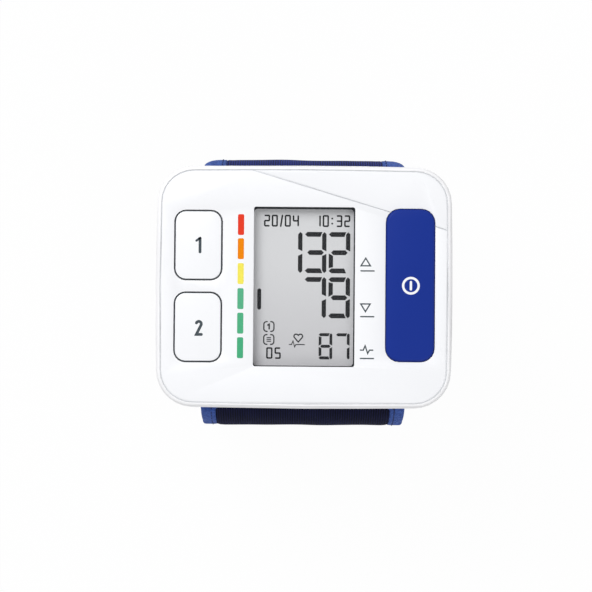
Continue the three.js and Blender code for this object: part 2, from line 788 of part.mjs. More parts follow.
function pumpSleeve() {
  const start = pumpHeadX + pumpHeadLength + seatGap + motorLength / 4;
  const end = start + motorLength / 2;
  const along = (radius, from, to) =>
    prismAlongX(circle(radius, pumpCentreY, pumpAxisHeight, mediumCircle), from, to);
  return cut(
    along(motorRadius + sleeveThickness, start, end),
    along(motorRadius + seatGap, start - cutOverrun, end + cutOverrun),
  );
}

const valveAxisHeight = innerFloor + valveRadius;
const manifoldBottom = innerFloor + nozzleFlangeThickness + seatGap;
const sensorBottom = boardBottom - seatGap - sensorHeight;
const manifoldTop = manifoldBottom + manifoldHeight;
const manifoldAxisHeight = manifoldBottom + manifoldHeight / 2;

function exhaustValve() {
  const end = valveX + valveLength;
  const can = prismAlongX(circle(valveRadius, valveY, valveAxisHeight, mediumCircle), valveX, end);
  const port = prismAlongX(
    circle(portRadius, valveY, valveAxisHeight),
    valveX - portLength, valveX + portLength,
  );
  const seat = box(valveX, end, valveY - valveRadius, valveY + valveRadius, innerFloor, valveAxisHeight);
  return join(can, port, seat);
}

// Manifold: a block over the cuff nozzle with one port each for the pump, the valve and the sensor above
function manifold() {
  const half = manifoldSize / 2;
  const block = box(
    manifoldX - half, manifoldX + half, manifoldY - half, manifoldY + half,
    manifoldBottom, manifoldTop,
  );
  const pumpPort = prismAlongY(
    circle(portRadius, manifoldAxisHeight, manifoldX),
    manifoldY - half - portLength, manifoldY,
  );
  const valvePort = prismAlongX(
    circle(portRadius, manifoldY, manifoldAxisHeight),
    manifoldX, manifoldX + half + portLength,
  );
  const sensorPort = prism(
    circle(portRadius, manifoldX, manifoldY),
    manifoldTop - portLength, sensorBottom - portLength - seatGap,
  );
  const bore = prism(
    circle(nozzleBore, manifoldX, manifoldY),
    manifoldBottom - cutOverrun, manifoldAxisHeight,
  );
  return cut(join(block, pumpPort, valvePort, sensorPort), bore);
}

function pressureSensor() {
  const half = sensorSize / 2;
  const top = sensorBottom + sensorHeight;
  const body = box(manifoldX - half, manifoldX + half, manifoldY - half, manifoldY + half, sensorBottom, top);
  return join(body, prism(circle(portRadius, manifoldX, manifoldY), sensorBottom - portLength, top));
}

// A hose between two ports, leaving each of them straight
function hose(start, startDirection, end, endDirection) {
  const reach = start.distanceTo(end) / 3;
  const route = new THREE.CubicBezierCurve3(
    start,
    start.clone().addScaledVector(startDirection, reach),
    end.clone().addScaledVector(endDirection, reach),
    end,
  );
  const section = new THREE.Shape(circle(hoseRadius, 0, 0, hoseSides));
  return new THREE.ExtrudeGeometry(section, { steps: hoseSteps, bevelEnabled: false, extrudePath: route });
}

// Nozzle: a tube from the bladder up through the cuff, the saddle and the back wall, with a flange at its top
function cuffNozzle() {
  const bladderSkin = loopHeight - bladderDepth - housingBase;
  const top = innerFloor + nozzleFlangeThickness;
  const tube = prism(circle(nozzleRadius, manifoldX, manifoldY), bladderSkin + seatGap, top);
  const flange = prism(circle(nozzleFlangeRadius, manifoldX, manifoldY, mediumCircle), innerFloor, top);
  const bore = prism(circle(nozzleBore, manifoldX, manifoldY), bladderSkin - cutOverrun, top + cutOverrun);
  return cut(join(tube, flange), bore);
}

// Cuff

// Stations of a round: centre, radius, and the outward direction at each step
function roundStations(centreY, centreZ, radius, fromDegrees, toDegrees) {
  const steps = Math.max(1, Math.round(loopStepsPerQuarter * Math.abs(toDegrees - fromDegrees) / 90));
  const stations = [];
  for (let i = 0; i <= steps; i++) {
    const angle = degToRad(lerp(fromDegrees, toDegrees, i / steps));
    stations.push({ centreY, centreZ, radius, outY: Math.cos(angle), outZ: Math.sin(angle) });
  }
  return stations;
}

// A stretch whose section is a list of {x, depth} points, with depth measured inward from the outer surface
function sweepSection(section, stations) {
  const rings = stations.map(({ centreY, centreZ, radius, outY, outZ }) =>
    section.map(({ x, depth }) =>
      new THREE.Vector3(x, centreY + (radius - depth) * outY, centreZ + (radius - depth) * outZ)));
  const { positions, indices, count } = skinRings(rings);
  const last = (rings.length - 1) * count;
  const flat = section.map(({ x, depth }) => new THREE.Vector2(x, depth));
  for (const [a, b, c] of THREE.ShapeUtils.triangulateShape(flat, [])) {
    indices.push(a, c, b);
    indices.push(last + a, last + b, last + c);
  }
  return closedGeometry(positions, indices);
}

// Mirror the points of one half of an edge, given from the middle out, to the whole width
function wholeWidth(half) {
  return [...half.map(({ x, depth }) => ({ x: -x, depth })).reverse(), ...half];
}

// The crown: flat over the padded middle, then falling in a round to the hem
const crownShares = [[0, 0], [0.45, 0.12], [0.8, 0.55], [1, 1]];
const crownHalf = crownShares.map(([across, fall]) =>
  ({ x: crownStart + crownWidth * across, depth: hemDepth * fall }));
const crownLine = wholeWidth([...crownHalf, { x: fabricHalf, depth: hemDepth }]);

// A fabric layer between the crown line and the same line one thickness deeper
const shellSection = [
  ...crownLine.map(({ x, depth }) => ({ x, depth })),
  ...crownLine.map(({ x, depth }) => ({ x, depth: depth + fabricThickness })).reverse(),
];
const liningSection = [
  ...crownLine.map(({ x, depth }) => ({ x, depth: cuffThickness - depth - liningThickness })),
  ...crownLine.map(({ x, depth }) => ({ x, depth: cuffThickness - depth })).reverse(),
];
const plainSection = (half, depth, thickness) => [
  { x: -half, depth },
  { x: half, depth },
  { x: half, depth: depth + thickness },
  { x: -half, depth: depth + thickness },
];

// The binding folds over the hems: an outer leg, a round edge and an inner leg
function bindingSection(side) {
  const inner = cuffWidth / 2 - bindingWidth;
  const outer = cuffWidth / 2;
  const top = hemDepth - seatGap - bindingThickness;
  const bottom = cuffThickness - top;
  const bend = bindingRound;
  const fold = fabricHalf + seatGap;
  const outline = [
    { x: inner, depth: top },
    { x: outer - bend, depth: top + bindingThickness / 3 },
    { x: outer - bend / 4, depth: top + bend },
    { x: outer, depth: cuffThickness / 2 },
    { x: outer - bend / 4, depth: bottom - bend },
    { x: outer - bend, depth: bottom - bindingThickness / 3 },
    { x: inner, depth: bottom },
    { x: inner, depth: bottom - bindingThickness },
    { x: fold, depth: bottom - bindingThickness },
    { x: fold, depth: top + bindingThickness },
    { x: inner, depth: top + bindingThickness },
  ];
  return side > 0 ? outline : outline.map(({ x, depth }) => ({ x: -x, depth })).reverse();
}

// The fixed part of the cuff: landing tab, top, far round, underside and the lower near round up to the hinge
const topStations = [
  { centreY: -tabFlatHalf, centreZ: upperRoundZ - tabDrop, radius: loopRadius, outY: -1, outZ: 0 },
  ...roundStations(-tabFlatHalf, upperRoundZ, loopRadius, 180, 90),
];
const farStations = [
  ...roundStations(flatHalf, upperRoundZ, loopRadius, 90, 0),
  ...roundStations(flatHalf, lowerRoundZ, loopRadius, 0, -90),
];
const lowerStations = endTrim => {
  const endAngle = -90 - hingeAngle + radToDeg(endTrim / loopRadius);
  return roundStations(-flatHalf, lowerRoundZ, loopRadius, -90, endAngle);
};
const fixedStations = [...topStations, ...farStations, ...lowerStations(seatGap / 2)];
const padStations = [
  { centreY: -stiffenerReach, centreZ: upperRoundZ, radius: loopRadius, outY: 0, outZ: 1 },
  ...farStations,
  ...lowerStations(padEndInset),
];

// The closing strap: from the hinge up the near side and over the start of the upper round
const tailStart = -90 - hingeAngle - radToDeg(seatGap / 2 / loopRadius);
const tailRadius = loopRadius + tailStack;
const tailStations = [
  ...roundStations(-flatHalf, lowerRoundZ, loopRadius, tailStart, -180),
  ...roundStations(-tabFlatHalf, upperRoundZ, tailRadius, -180, -180 - tailEndAngle),
];
const hookStart = upperRoundZ - tabDrop + hookEndMargin;
const hookEnd = -180 - tailEndAngle + radToDeg(hookEndMargin / tailRadius);
const hookStations = [
  { centreY: -tabFlatHalf, centreZ: hookStart, radius: tailRadius, outY: -1, outZ: 0 },
  ...roundStations(-tabFlatHalf, upperRoundZ, tailRadius, -180, hookEnd),
];
const tailHalf = wholeWidth([
  { x: cuffWidth / 2 - tailEdgeWidth, depth: 0 },
  { x: cuffWidth / 2, depth: (tailThickness - tailEdgeThickness) / 2 },
]);
const tailSection = [
  ...tailHalf,
  ...tailHalf.map(({ x, depth }) => ({ x, depth: tailThickness - depth })).reverse(),
];

// The passage for the nozzle through what lies between the housing and the bladder
const nozzlePassage = prism(
  circle(nozzleRadius + seatGap, manifoldX, manifoldY),
  loopHeight - bladderDepth, housingBase + cutOverrun,
);

// Saddle: level on top, hollowed below to the cuff's upper side, round at its corners seen from above, with
// snap hooks for the back wall
function saddle() {
  const radius = loopRadius + seatGap;
  const nearAngle = radToDeg(Math.acos((tabFlatHalf - saddleHalfLength) / radius));
  const farAngle = radToDeg(Math.acos((saddleHalfLength - flatHalf) / radius));
  const top = housingBase - seatGap;
  const outline = [
    ...arcPoints(-tabFlatHalf, upperRoundZ, radius, nearAngle, 90, roundSteps),
    ...arcPoints(flatHalf, upperRoundZ, radius, 90, farAngle, roundSteps),
    new THREE.Vector2(saddleHalfLength, top),
    new THREE.Vector2(-saddleHalfLength, top),
  ];
  const half = cuffWidth / 2 - saddleSideInset;
  const plan = roundedRectangle(half, saddleHalfLength, saddleCorner, keyCornerSteps);
  const body = common(prismAlongX(outline, -half, half), prism(plan, 0, top + cutOverrun));
  const catchBottom = housingBase + innerFloor;
  const catchTop = catchBottom + hookHead;
  const hooks = saddleHookPlaces.map(([x, y]) => {
    const minX = x - hookStem / 2;
    const maxX = x + hookStem / 2;
    const minY = y - hookLength / 2;
    const maxY = y + hookLength / 2;
    return join(
      box(minX, maxX, minY, maxY, top - saddleThickness / 2, catchTop),
      box(x, maxX + hookCatch, minY, maxY, catchBottom, catchTop),
    );
  });
  return cut(join(body, ...hooks), nozzlePassage);
}

// Assembly
const monitor = new THREE.Group();
const housing = new THREE.Group();
housing.position.z = housingBase;
monitor.add(housing);

piece('rear_shell', rearShell(), shellWhite, housing);
piece('battery_door', batteryDoor(), shellWhite, housing);
piece('front_shell', frontShell(), shellWhite, housing);
piece('face_panel', facePanel(), glossWhite, housing);
for (const [i, [x, y]] of postPlaces.entries()) {
  const caseScrew = screw(caseScrewHeadRadius, caseScrewHeadHeight, caseScrewRadius, caseScrewLength, 0, 1);
  piece(`case_screw_${i + 1}`, caseScrew, steel, housing).position.set(x, y, 0);
}

piece('display_lens', prism(windowOutline(lensMargin), lensBottom, plateTop), clearLens, housing);
piece('display', prism(windowOutline(displayMargin), displayBottom, displayTop), displayGrey, housing);
piece('display_holder', displayHolder(), blackPlastic, housing);
piece('connector_strip_upper', connectorStrip(1), blackRubber, housing);
piece('connector_strip_lower', connectorStrip(-1), blackRubber, housing);

for (const { name, x, y } of keyPlaces) {
  piece(name, key(keyOutline, keyRise, keyEdgeRound), glossWhite, housing).position.set(x, y, 0);
  piece(name.replace('key', 'switch'), switchBody(), blackPlastic, housing).position.set(x, y, 0);
  piece(name.replace('key', 'switch_stem'), switchStem(), blackRubber, housing).position.set(x, y, 0);
}
piece('start_key', key(startOutline, startRise, startEdgeRound), startBlue, housing)
  .position.set(columnCentre, startShift, 0);
piece('start_switch', switchBody(), blackPlastic, housing).position.set(columnCentre, startShift, 0);
piece('start_switch_stem', switchStem(), blackRubber, housing).position.set(columnCentre, startShift, 0);

piece('chassis', chassis(), chassisGrey, housing);
piece('circuit_board', circuitBoard(), boardGreen, housing);
for (const [i, [x, y]] of boardPostPlaces.entries()) {
  const boardScrew = screw(
    boardScrewHeadRadius, boardScrewHeadHeight, boardScrewRadius, boardScrewLength,
    boardTop + seatGap + boardScrewHeadHeight, -1,
  );
  piece(`board_screw_${i + 1}`, boardScrew, steel, housing).position.set(x, y, 0);
}
const chip = prism(
  roundedRectangle(chipSize / 2, chipSize / 2, chipThickness, 1, columnCentre / 2, chipSize),
  boardBottom - seatGap - chipThickness, boardBottom - seatGap,
);
piece('main_chip', chip, blackPlastic, housing);
const crystal = prism(
  roundedRectangle(crystalLength / 2, crystalWidth / 2, crystalWidth / 2, keyCornerSteps),
  switchBottom, switchBottom + crystalHeight,
);
piece('crystal', crystal, steel, housing);
const capacitor = revolve([
  [0, 0],
  [capacitorRadius, 0],
  [capacitorRadius, capacitorHeight],
  [0, capacitorHeight],
], mediumCircle);
piece('capacitor', capacitor, blackPlastic, housing)
  .position.set(columnCentre - keyWidth / 2, boardHalfLength - 2 * capacitorRadius, switchBottom);

piece('pump_head', pumpHead(), blackPlastic, housing);
piece('pump_motor', pumpMotor(), motorSteel, housing);
piece('pump_sleeve', pumpSleeve(), blackRubber, housing);
piece('exhaust_valve', exhaustValve(), steel, housing);
piece('air_manifold', manifold(), chassisGrey, housing);
piece('pressure_sensor', pressureSensor(), blackPlastic, housing);
piece('cuff_nozzle', cuffNozzle(), chassisGrey, housing);
const towardFar = new THREE.Vector3(0, 1, 0);
const towardRight = new THREE.Vector3(1, 0, 0);
piece('pump_hose', hose(
  new THREE.Vector3(manifoldX, pumpCentreY + pumpHeadSize / 2 + portLength + seatGap, pumpAxisHeight),
  towardFar,
  new THREE.Vector3(manifoldX, manifoldY - manifoldSize / 2 - portLength - seatGap, manifoldAxisHeight),
  towardFar.clone().negate(),
), siliconeClear, housing);
piece('valve_hose', hose(
  new THREE.Vector3(manifoldX + manifoldSize / 2 + portLength + seatGap, manifoldY, manifoldAxisHeight),
  towardRight,
  new THREE.Vector3(valveX - portLength - seatGap, valveY, valveAxisHeight),
  towardRight.clone().negate(),
), siliconeClear, housing);

// The two cells lie side by side, head to tail
piece('cell_1', cell(), cellJacket, housing).position.set(cellOuterX, 0, cellAxisHeight);
const secondCell = piece('cell_2', cell(), cellJacket, housing);
secondCell.position.set(cellInnerX, 0, cellAxisHeight);
secondCell.rotation.z = Math.PI;
const contactHalf = cellDiameter / 2 - bayClearance;
piece('contact_link', contact(cellOuterX - contactHalf, cellInnerX + contactHalf, 1), nickel, housing);
piece('contact_negative', contact(cellOuterX - contactHalf, cellOuterX + contactHalf, -1), nickel, housing);
piece('contact_positive', contact(cellInnerX - contactHalf, cellInnerX + contactHalf, -1), nickel, housing);

piece('cuff_saddle', saddle(), blackPlastic, monitor);
piece('cuff_fabric', cut(sweepSection(shellSection, fixedStations), nozzlePassage), navyFabric, monitor);
piece('cuff_stiffener', cut(
  sweepSection(plainSection(crownStart, stiffenerDepth, stiffenerThickness), padStations),
  nozzlePassage,
), stiffenerWhite, monitor);
piece('air_bladder', sweepSection(
  plainSection(crownStart, bladderDepth, bladderThickness),
  padStations,
), bladderFilm, monitor);
piece('cuff_lining', sweepSection(liningSection, fixedStations), liningFabric, monitor);
piece('binding_left', sweepSection(bindingSection(-1), fixedStations), bindingNavy, monitor);
piece('binding_right', sweepSection(bindingSection(1), fixedStations), bindingNavy, monitor);
piece('cuff_tail', sweepSection(tailSection, tailStations), navyFabric, monitor);
piece('hook_patch', sweepSection(
  plainSection(cuffWidth / 2 - hookMargin, tailThickness + seatGap, hookThickness),
  hookStations,
), hookNavy, monitor);

export default monitor;
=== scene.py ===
# %% [markdown]
# A wrist blood pressure monitor, dressed in Blender.
# The measured model comes in as a fixed frame: every rigid part is already at its real size, in metres, and
# it stands on the underside of its closed cuff with its display up. This lesson gives each part its finish
# and models what a plain solid can't show: cloth, tape, stitches, print and the display's marks.

import json
import math
from collections import namedtuple

import bmesh
import bpy
from mathutils import Matrix, Vector, noise


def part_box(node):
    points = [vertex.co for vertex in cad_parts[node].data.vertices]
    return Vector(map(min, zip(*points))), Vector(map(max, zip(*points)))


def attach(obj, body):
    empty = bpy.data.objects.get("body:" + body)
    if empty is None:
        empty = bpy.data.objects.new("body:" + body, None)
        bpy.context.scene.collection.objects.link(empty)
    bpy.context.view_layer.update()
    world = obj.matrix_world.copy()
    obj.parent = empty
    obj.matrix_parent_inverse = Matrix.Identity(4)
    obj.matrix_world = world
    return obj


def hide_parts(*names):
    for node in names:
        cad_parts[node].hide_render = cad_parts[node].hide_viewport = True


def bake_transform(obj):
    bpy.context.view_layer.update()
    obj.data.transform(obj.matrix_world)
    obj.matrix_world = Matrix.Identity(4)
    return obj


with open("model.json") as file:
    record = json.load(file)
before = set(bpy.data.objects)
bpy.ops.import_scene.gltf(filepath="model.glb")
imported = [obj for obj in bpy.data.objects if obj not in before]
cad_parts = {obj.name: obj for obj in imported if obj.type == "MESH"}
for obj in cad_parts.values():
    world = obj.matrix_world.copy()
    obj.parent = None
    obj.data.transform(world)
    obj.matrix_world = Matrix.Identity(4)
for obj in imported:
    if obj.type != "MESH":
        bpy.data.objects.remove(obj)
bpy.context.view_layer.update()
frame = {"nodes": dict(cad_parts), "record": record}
NODES = frame["nodes"]
MM = 0.001

# %% [markdown]
# The camera comes first, because it decides what the picture can show. The photograph looks almost straight
# down on the face from about 600 mm, from a point a little toward the near edge, so that the near side of
# the cuff shows more than the far side. The lens follows from the width of face plane that the picture
# spans.

# %% Camera
FACE_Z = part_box("face_panel")[1].z
VIEW_DISTANCE = 600 * MM
VIEW_WIDTH = 162.9 * MM  # what the picture spans at the face
VIEW_TILT = math.radians(1.4)
VIEW_ROLL = math.radians(0.45)
AIM_X, AIM_Y = -2.22 * MM, -2.56 * MM  # the point of the face that the picture's middle shows
SENSOR = 36.0  # a camera's sensor and lens are given in millimetres

aim = Vector((AIM_X, AIM_Y, FACE_Z))
back = Vector((0, -math.sin(VIEW_TILT), math.cos(VIEW_TILT)))
lens = bpy.data.cameras.new("camera")
lens.sensor_width = SENSOR
lens.lens = SENSOR * VIEW_DISTANCE / VIEW_WIDTH
camera = bpy.data.objects.new("camera", lens)
bpy.context.scene.collection.objects.link(camera)
turn = Matrix.Rotation(VIEW_ROLL, 4, back) @ Matrix.Rotation(-VIEW_TILT, 4, "X").inverted()
camera.matrix_world = Matrix.Translation(aim + back * VIEW_DISTANCE) @ turn
bpy.context.scene.camera = camera
print("lens of", round(lens.lens, 1), "mm")

# %% [markdown]
# White plastic is lit from all round by a plain pale world, so that a colour renders about as it is written,
# and by two large soft lamps that give the edges a light and a dark side. The lamps are wide, because a
# small lamp would draw a hard spot on the glossy face, and they stand far enough out that the face doesn't
# mirror them.

# %% Lamps
def lamp(name, place, size, power):
    light = bpy.data.lights.new(name, "AREA")
    light.shape = "DISK"
    light.size = size
    light.energy = power
    holder = bpy.data.objects.new(name, light)
    bpy.context.scene.collection.objects.link(holder)
    holder.location = place
    holder.rotation_euler = (Vector((0, 0, FACE_Z)) - Vector(place)).to_track_quat("-Z", "Y").to_euler()
    print(name, "gives", power, "W over", size, "m")


lamp("softbox_above", place=(-0.42, 0.56, 0.95), size=0.7, power=7.0)
lamp("softbox_near", place=(0.3, -0.6, 0.8), size=0.6, power=1.3)
bpy.context.scene.view_settings.view_transform = "Standard"

# %% [markdown]
# Shader maths reads best as plain expressions. A Wire stands for one output of a node. Adding, multiplying
# or comparing two wires adds the Math node that does it, so a pattern is written the way it is thought of.
# The same sum in the node editor would be a long chain of small boxes.

# %% Wires
class Wire:
    def __init__(self, finish, socket):
        self.finish = finish
        self.socket = socket

    def math(self, operation, *others):
        return self.finish.node("ShaderNodeMath", {"operation": operation}, dict(enumerate((self, *others))))

    def __add__(self, other):
        return self.math("ADD", other)

    __radd__ = __add__

    def __mul__(self, other):
        return self.math("MULTIPLY", other)

    __rmul__ = __mul__

    def __sub__(self, other):
        return self.math("SUBTRACT", other)

    def __rsub__(self, other):
        return self.finish.node("ShaderNodeMath", {"operation": "SUBTRACT"}, {0: other, 1: self})

    def __truediv__(self, other):
        return self.math("DIVIDE", other)

    def __lt__(self, other):
        return self.math("LESS_THAN", other)

    def __gt__(self, other):
        return self.math("GREATER_THAN", other)

    def __abs__(self):
        return self.math("ABSOLUTE")

    def sine(self):
        return self.math("SINE")

    def ramp(self, low, high, to_low=0.0, to_high=1.0):
        """This value, spread from the range low to high over to_low to to_high, with round ends."""
        settings = {"interpolation_type": "SMOOTHSTEP"}
        inputs = {"Value": self, 1: low, 2: high, 3: to_low, 4: to_high}
        return self.finish.node("ShaderNodeMapRange", settings, inputs)

# %% [markdown]
# A Finish is one material. It holds the node tree, and its node() method adds any node from its type, its
# settings and its inputs. The other methods are the things that nearly every finish here needs: the place on
# the piece, a noise whose blobs have a size in metres, a mix of two colours, and relief of a given depth.

# %% Finishes
class Finish:
    made = {}

    def __init__(self, name, colour, roughness, metallic=0.0, **constants):
        self.material = bpy.data.materials.new(name)
        self.material.use_nodes = True
        self.tree = self.material.node_tree
        self.shader = self.tree.nodes["Principled BSDF"]
        self.set("Base Color", colour)
        self.set("Roughness", roughness)
        self.set("Metallic", metallic)
        for socket, value in constants.items():
            self.set(socket.replace("_", " ").title().replace("Ior", "IOR"), value)
        Finish.made[name] = self

    def put(self, socket, value):
        if isinstance(value, Wire):
            self.tree.links.new(value.socket, socket)
        elif isinstance(value, (tuple, list)) and len(value) == 3 and socket.type == "RGBA":
            socket.default_value = (*value, 1)
        else:
            socket.default_value = value

    def set(self, socket, value):
        self.put(self.shader.inputs[socket], value)

    def node(self, kind, settings=None, inputs=None, output=0):
        made = self.tree.nodes.new(kind)
        for key, value in (settings or {}).items():
            setattr(made, key, value)
        for key, value in (inputs or {}).items():
            self.put(made.inputs[key], value)
        return Wire(self, made.outputs[output])

    def place(self):
        """The point on the piece, in metres, in its own axes."""
        return self.node("ShaderNodeTexCoord", output="Object")

    def axis(self, name):
        return self.node("ShaderNodeSeparateXYZ", None, {0: self.place()}, output=name)

    def along(self, attribute):
        """A number stored on the mesh's points."""
        return self.node("ShaderNodeAttribute", {"attribute_name": attribute}, output="Fac")

    def noise(self, size, detail=3.0, point=None, roughness=0.5):
        """Cloudy noise whose blobs are about size metres across."""
        inputs = {"Vector": point or self.place(), "Scale": 1 / size, "Detail": detail,
                  "Roughness": roughness}
        return self.node("ShaderNodeTexNoise", None, inputs)

    def cells(self, size, output="Distance"):
        """Rounded areas about size metres across: how far their middle is, or a colour for each."""
        inputs = {"Vector": self.place(), "Scale": 1 / size}
        return self.node("ShaderNodeTexVoronoi", {"feature": "F1"}, inputs, output=output)

    def mix(self, share, first, second):
        """The second colour over the first, by share."""
        settings = {"data_type": "RGBA"}
        return self.node("ShaderNodeMix", settings, {0: share, 6: first, 7: second}, output=2)

    def bump(self, height, depth, strength):
        """Relief of the given depth in metres where height goes from 0 to 1."""
        inputs = {"Height": height, "Distance": depth, "Strength": strength}
        self.set("Normal", self.node("ShaderNodeBump", None, inputs))

# %% [markdown]
# The world lights the object at about half strength from all sides. What the camera sees of it directly, and
# what gloss and glass show of it, is plain white, as the paper roll of a studio would be.

# %% World
WORLD_STRENGTH = 0.53


def straight_rays(finish):
    """1 for what the camera sees directly or in gloss or glass, and 0 for the light that falls on things."""
    kinds = ("Is Camera Ray", "Is Glossy Ray", "Is Transmission Ray")
    seen = [finish.node("ShaderNodeLightPath", output=kind) for kind in kinds]
    return seen[0].math("MAXIMUM", seen[1].math("MAXIMUM", seen[2]))


class Sky(Finish):
    """The world's own node tree, with the methods of a finish."""

    def __init__(self, world):
        world.use_nodes = True
        self.tree = world.node_tree
        self.shader = self.tree.nodes["Background"]


world = bpy.data.worlds.new("studio")
sky = Sky(world)
sky.set("Color", (1.0, 1.0, 1.0))
sky.set("Strength", straight_rays(sky) * (1 - WORLD_STRENGTH) + WORLD_STRENGTH)
bpy.context.scene.world = world
print("the world lights the object at", WORLD_STRENGTH)

# %% [markdown]
# Moulded plastic is never one flat colour. Its tone drifts a little over centimetres, its gloss changes
# where hands rub it, and its surface has the fine grain of the mould or, where the mould was polished, the
# long low waves called orange peel. One function makes them all, from the colour, the gloss and the size of
# the grain.

# %% Moulded plastics
def tint(red, green, blue):
    """A colour given as a screen shows it, from 0 to 255, as the linear values that a shader takes."""
    def linear(level):
        share = level / 255
        return share / 12.92 if share <= 0.04045 else ((share + 0.055) / 1.055) ** 2.4
    return tuple(linear(level) for level in (red, green, blue))


def scaled(colour, factor):
    return tuple(min(1.0, level * factor) for level in colour)


def stretched(finish, factor):
    """The place on the piece with one axis pressed together, so that noise turns into streaks."""
    settings = {"operation": "MULTIPLY"}
    return finish.node("ShaderNodeVectorMath", settings, {0: finish.place(), 1: (1.0, 1 / factor, 1.0)})


DRIFT_SIZE, RUB_SIZE, SCUFF_SIZE = 18 * MM, 5 * MM, 0.5 * MM


def moulded(name, colour, roughness, grain_size, grain_depth, wear=1.0, **constants):
    finish = Finish(name, colour, roughness, **constants)
    drift = finish.noise(DRIFT_SIZE, 2.0).ramp(0.3, 0.7)
    darker, lighter = scaled(colour, 1 - 0.025 * wear), scaled(colour, 1 + 0.01 * wear)
    finish.set("Base Color", finish.mix(drift, darker, lighter))
    rubbed = finish.noise(RUB_SIZE, 4.0).ramp(0.35, 0.75)
    scuffs = finish.noise(SCUFF_SIZE, 2.0, point=stretched(finish, 9)).ramp(0.6, 0.72)
    finish.set("Roughness", roughness + rubbed * (0.05 * wear) + scuffs * (0.06 * wear))
    finish.bump(finish.noise(grain_size, 2.0), grain_depth, 0.35)
    return finish


FACE_WHITE = tint(246, 247, 250)
SHELL_WHITE = tint(248, 248, 250)
START_BLUE = tint(24, 50, 142)
PRINT_AND_SHADE_GREY = tint(75, 84, 90)

gloss_white = moulded("gloss_white", FACE_WHITE, 0.3, 2.2 * MM, 0.0005 * MM, 0.25,
                      coat_weight=0.2, coat_roughness=0.15)
shell_white = moulded("shell_white", SHELL_WHITE, 0.4, 0.16 * MM, 0.012 * MM)
start_blue = moulded("start_blue", START_BLUE, 0.36, 1.6 * MM, 0.0005 * MM, 0.5, specular_ior_level=0.1)
inner_grey = moulded("inner_grey", tint(182, 186, 190), 0.5, 0.2 * MM, 0.02 * MM)
black_plastic = moulded("black_plastic", tint(30, 31, 34), 0.42, 0.2 * MM, 0.02 * MM)
black_rubber = moulded("black_rubber", tint(38, 39, 42), 0.75, 0.3 * MM, 0.03 * MM)
silicone = moulded("silicone", tint(216, 219, 218), 0.45, 0.8 * MM, 0.02 * MM, subsurface_weight=0.2)
stiffener_white = moulded("stiffener_white", tint(214, 216, 220), 0.45, 0.5 * MM, 0.01 * MM)

PORE_SIZE = 0.5 * MM
foam_grey = Finish("foam_grey", tint(66, 68, 72), 0.95, specular_ior_level=0.1)
shaded_pores = foam_grey.cells(PORE_SIZE).ramp(0.15, 0.55)
# Each pore is painted darker toward its middle: painted shade in its hollow.
foam_grey.set("Base Color", foam_grey.mix(shaded_pores, tint(28, 29, 32), tint(78, 80, 85)))
foam_grey.bump(shaded_pores, 0.15 * MM, 0.9)
print(len(Finish.made), "plastics")

# %% [markdown]
# Rolled and plated steel shows fine streaks along the way it was drawn. Stretched noise gives them, in the
# tone and in the gloss.

# %% Metals
def drawn_metal(name, colour, roughness):
    finish = Finish(name, colour, roughness, 1.0)
    streaks = finish.noise(0.25 * MM, 4.0, point=stretched(finish, 12)).ramp(0.3, 0.7)
    finish.set("Base Color", finish.mix(streaks, scaled(colour, 0.86), scaled(colour, 1.05)))
    finish.set("Roughness", roughness + streaks * 0.14)
    finish.bump(streaks, 0.004 * MM, 0.4)
    return finish


steel = drawn_metal("steel", tint(186, 188, 192), 0.26)
nickel = drawn_metal("nickel", tint(202, 197, 184), 0.22)
print("steel and nickel")

# %% [markdown]
# A circuit board is green lacquer over copper tracks, which show through it a little lighter and stand up a
# hair. Rows of stripes are enough for a board that is seen only through gaps. A cell noise cuts the board
# into areas, and each area takes the stripes of one direction, so the tracks seem to turn.

# %% Circuit board
LACQUER_GREEN = tint(24, 92, 58)
TRACK_GREEN = tint(52, 130, 84)
TRACK_PITCH, TRACK_HALF = 0.9 * MM, 0.17 * MM
TRACK_AREA = 7 * MM
board_green = Finish("board_green", LACQUER_GREEN, 0.3)


def stripes(axis):
    """1 on tracks that lie side by side along an axis, and 0 between them."""
    return abs(board_green.axis(axis).math("PINGPONG", TRACK_PITCH) - TRACK_PITCH / 2) < TRACK_HALF


area_colour = board_green.cells(TRACK_AREA, "Color")
lengthwise = board_green.node("ShaderNodeSeparateColor", None, {0: area_colour}) > 0.5
copper = stripes("X") * lengthwise + stripes("Y") * (1 - lengthwise)
board_green.set("Base Color", board_green.mix(copper, LACQUER_GREEN, TRACK_GREEN))
board_green.bump(copper, 0.03 * MM, 0.6)
print("tracks every", round(TRACK_PITCH / MM, 2), "mm")

# %% [markdown]
# A small dry cell is a steel can in a shrunk plastic jacket. The jacket is plain here, with a pale ring near
# each end, and the bare metal shows beyond it. One finish does all of the cell, because how far a point lies
# from the cell's middle says which of them it is on. The lens over the display is clear acrylic, almost all
# of it transparent, with a gloss that fingers have dulled in places.

# %% Cell jacket and lens
JACKET_SLATE = tint(66, 86, 98)
JACKET_LINE = tint(226, 230, 232)
CAN_STEEL = tint(196, 198, 202)
RING_START, RING_END, JACKET_END = 17.6 * MM, 18.6 * MM, 21.1 * MM  # from the cell's middle
cell_jacket = Finish("cell_jacket", JACKET_SLATE, 0.28)
from_middle = abs(cell_jacket.axis("Y"))
rings = (from_middle > RING_START) - (from_middle > RING_END)
bare = from_middle > JACKET_END
jacket = cell_jacket.mix(rings, JACKET_SLATE, JACKET_LINE)
cell_jacket.set("Base Color", cell_jacket.mix(bare, jacket, CAN_STEEL))
cell_jacket.set("Metallic", bare)
cell_jacket.set("Roughness", 0.24 + cell_jacket.noise(3 * MM).ramp(0.4, 0.7) * 0.1)

clear_lens = Finish("clear_lens", tint(120, 122, 124), 0.06, alpha=0.03, ior=1.49)
clear_lens.set("Roughness", 0.05 + clear_lens.noise(4 * MM, 4.0).ramp(0.5, 0.75) * 0.05)
print(len(Finish.made), "finishes")
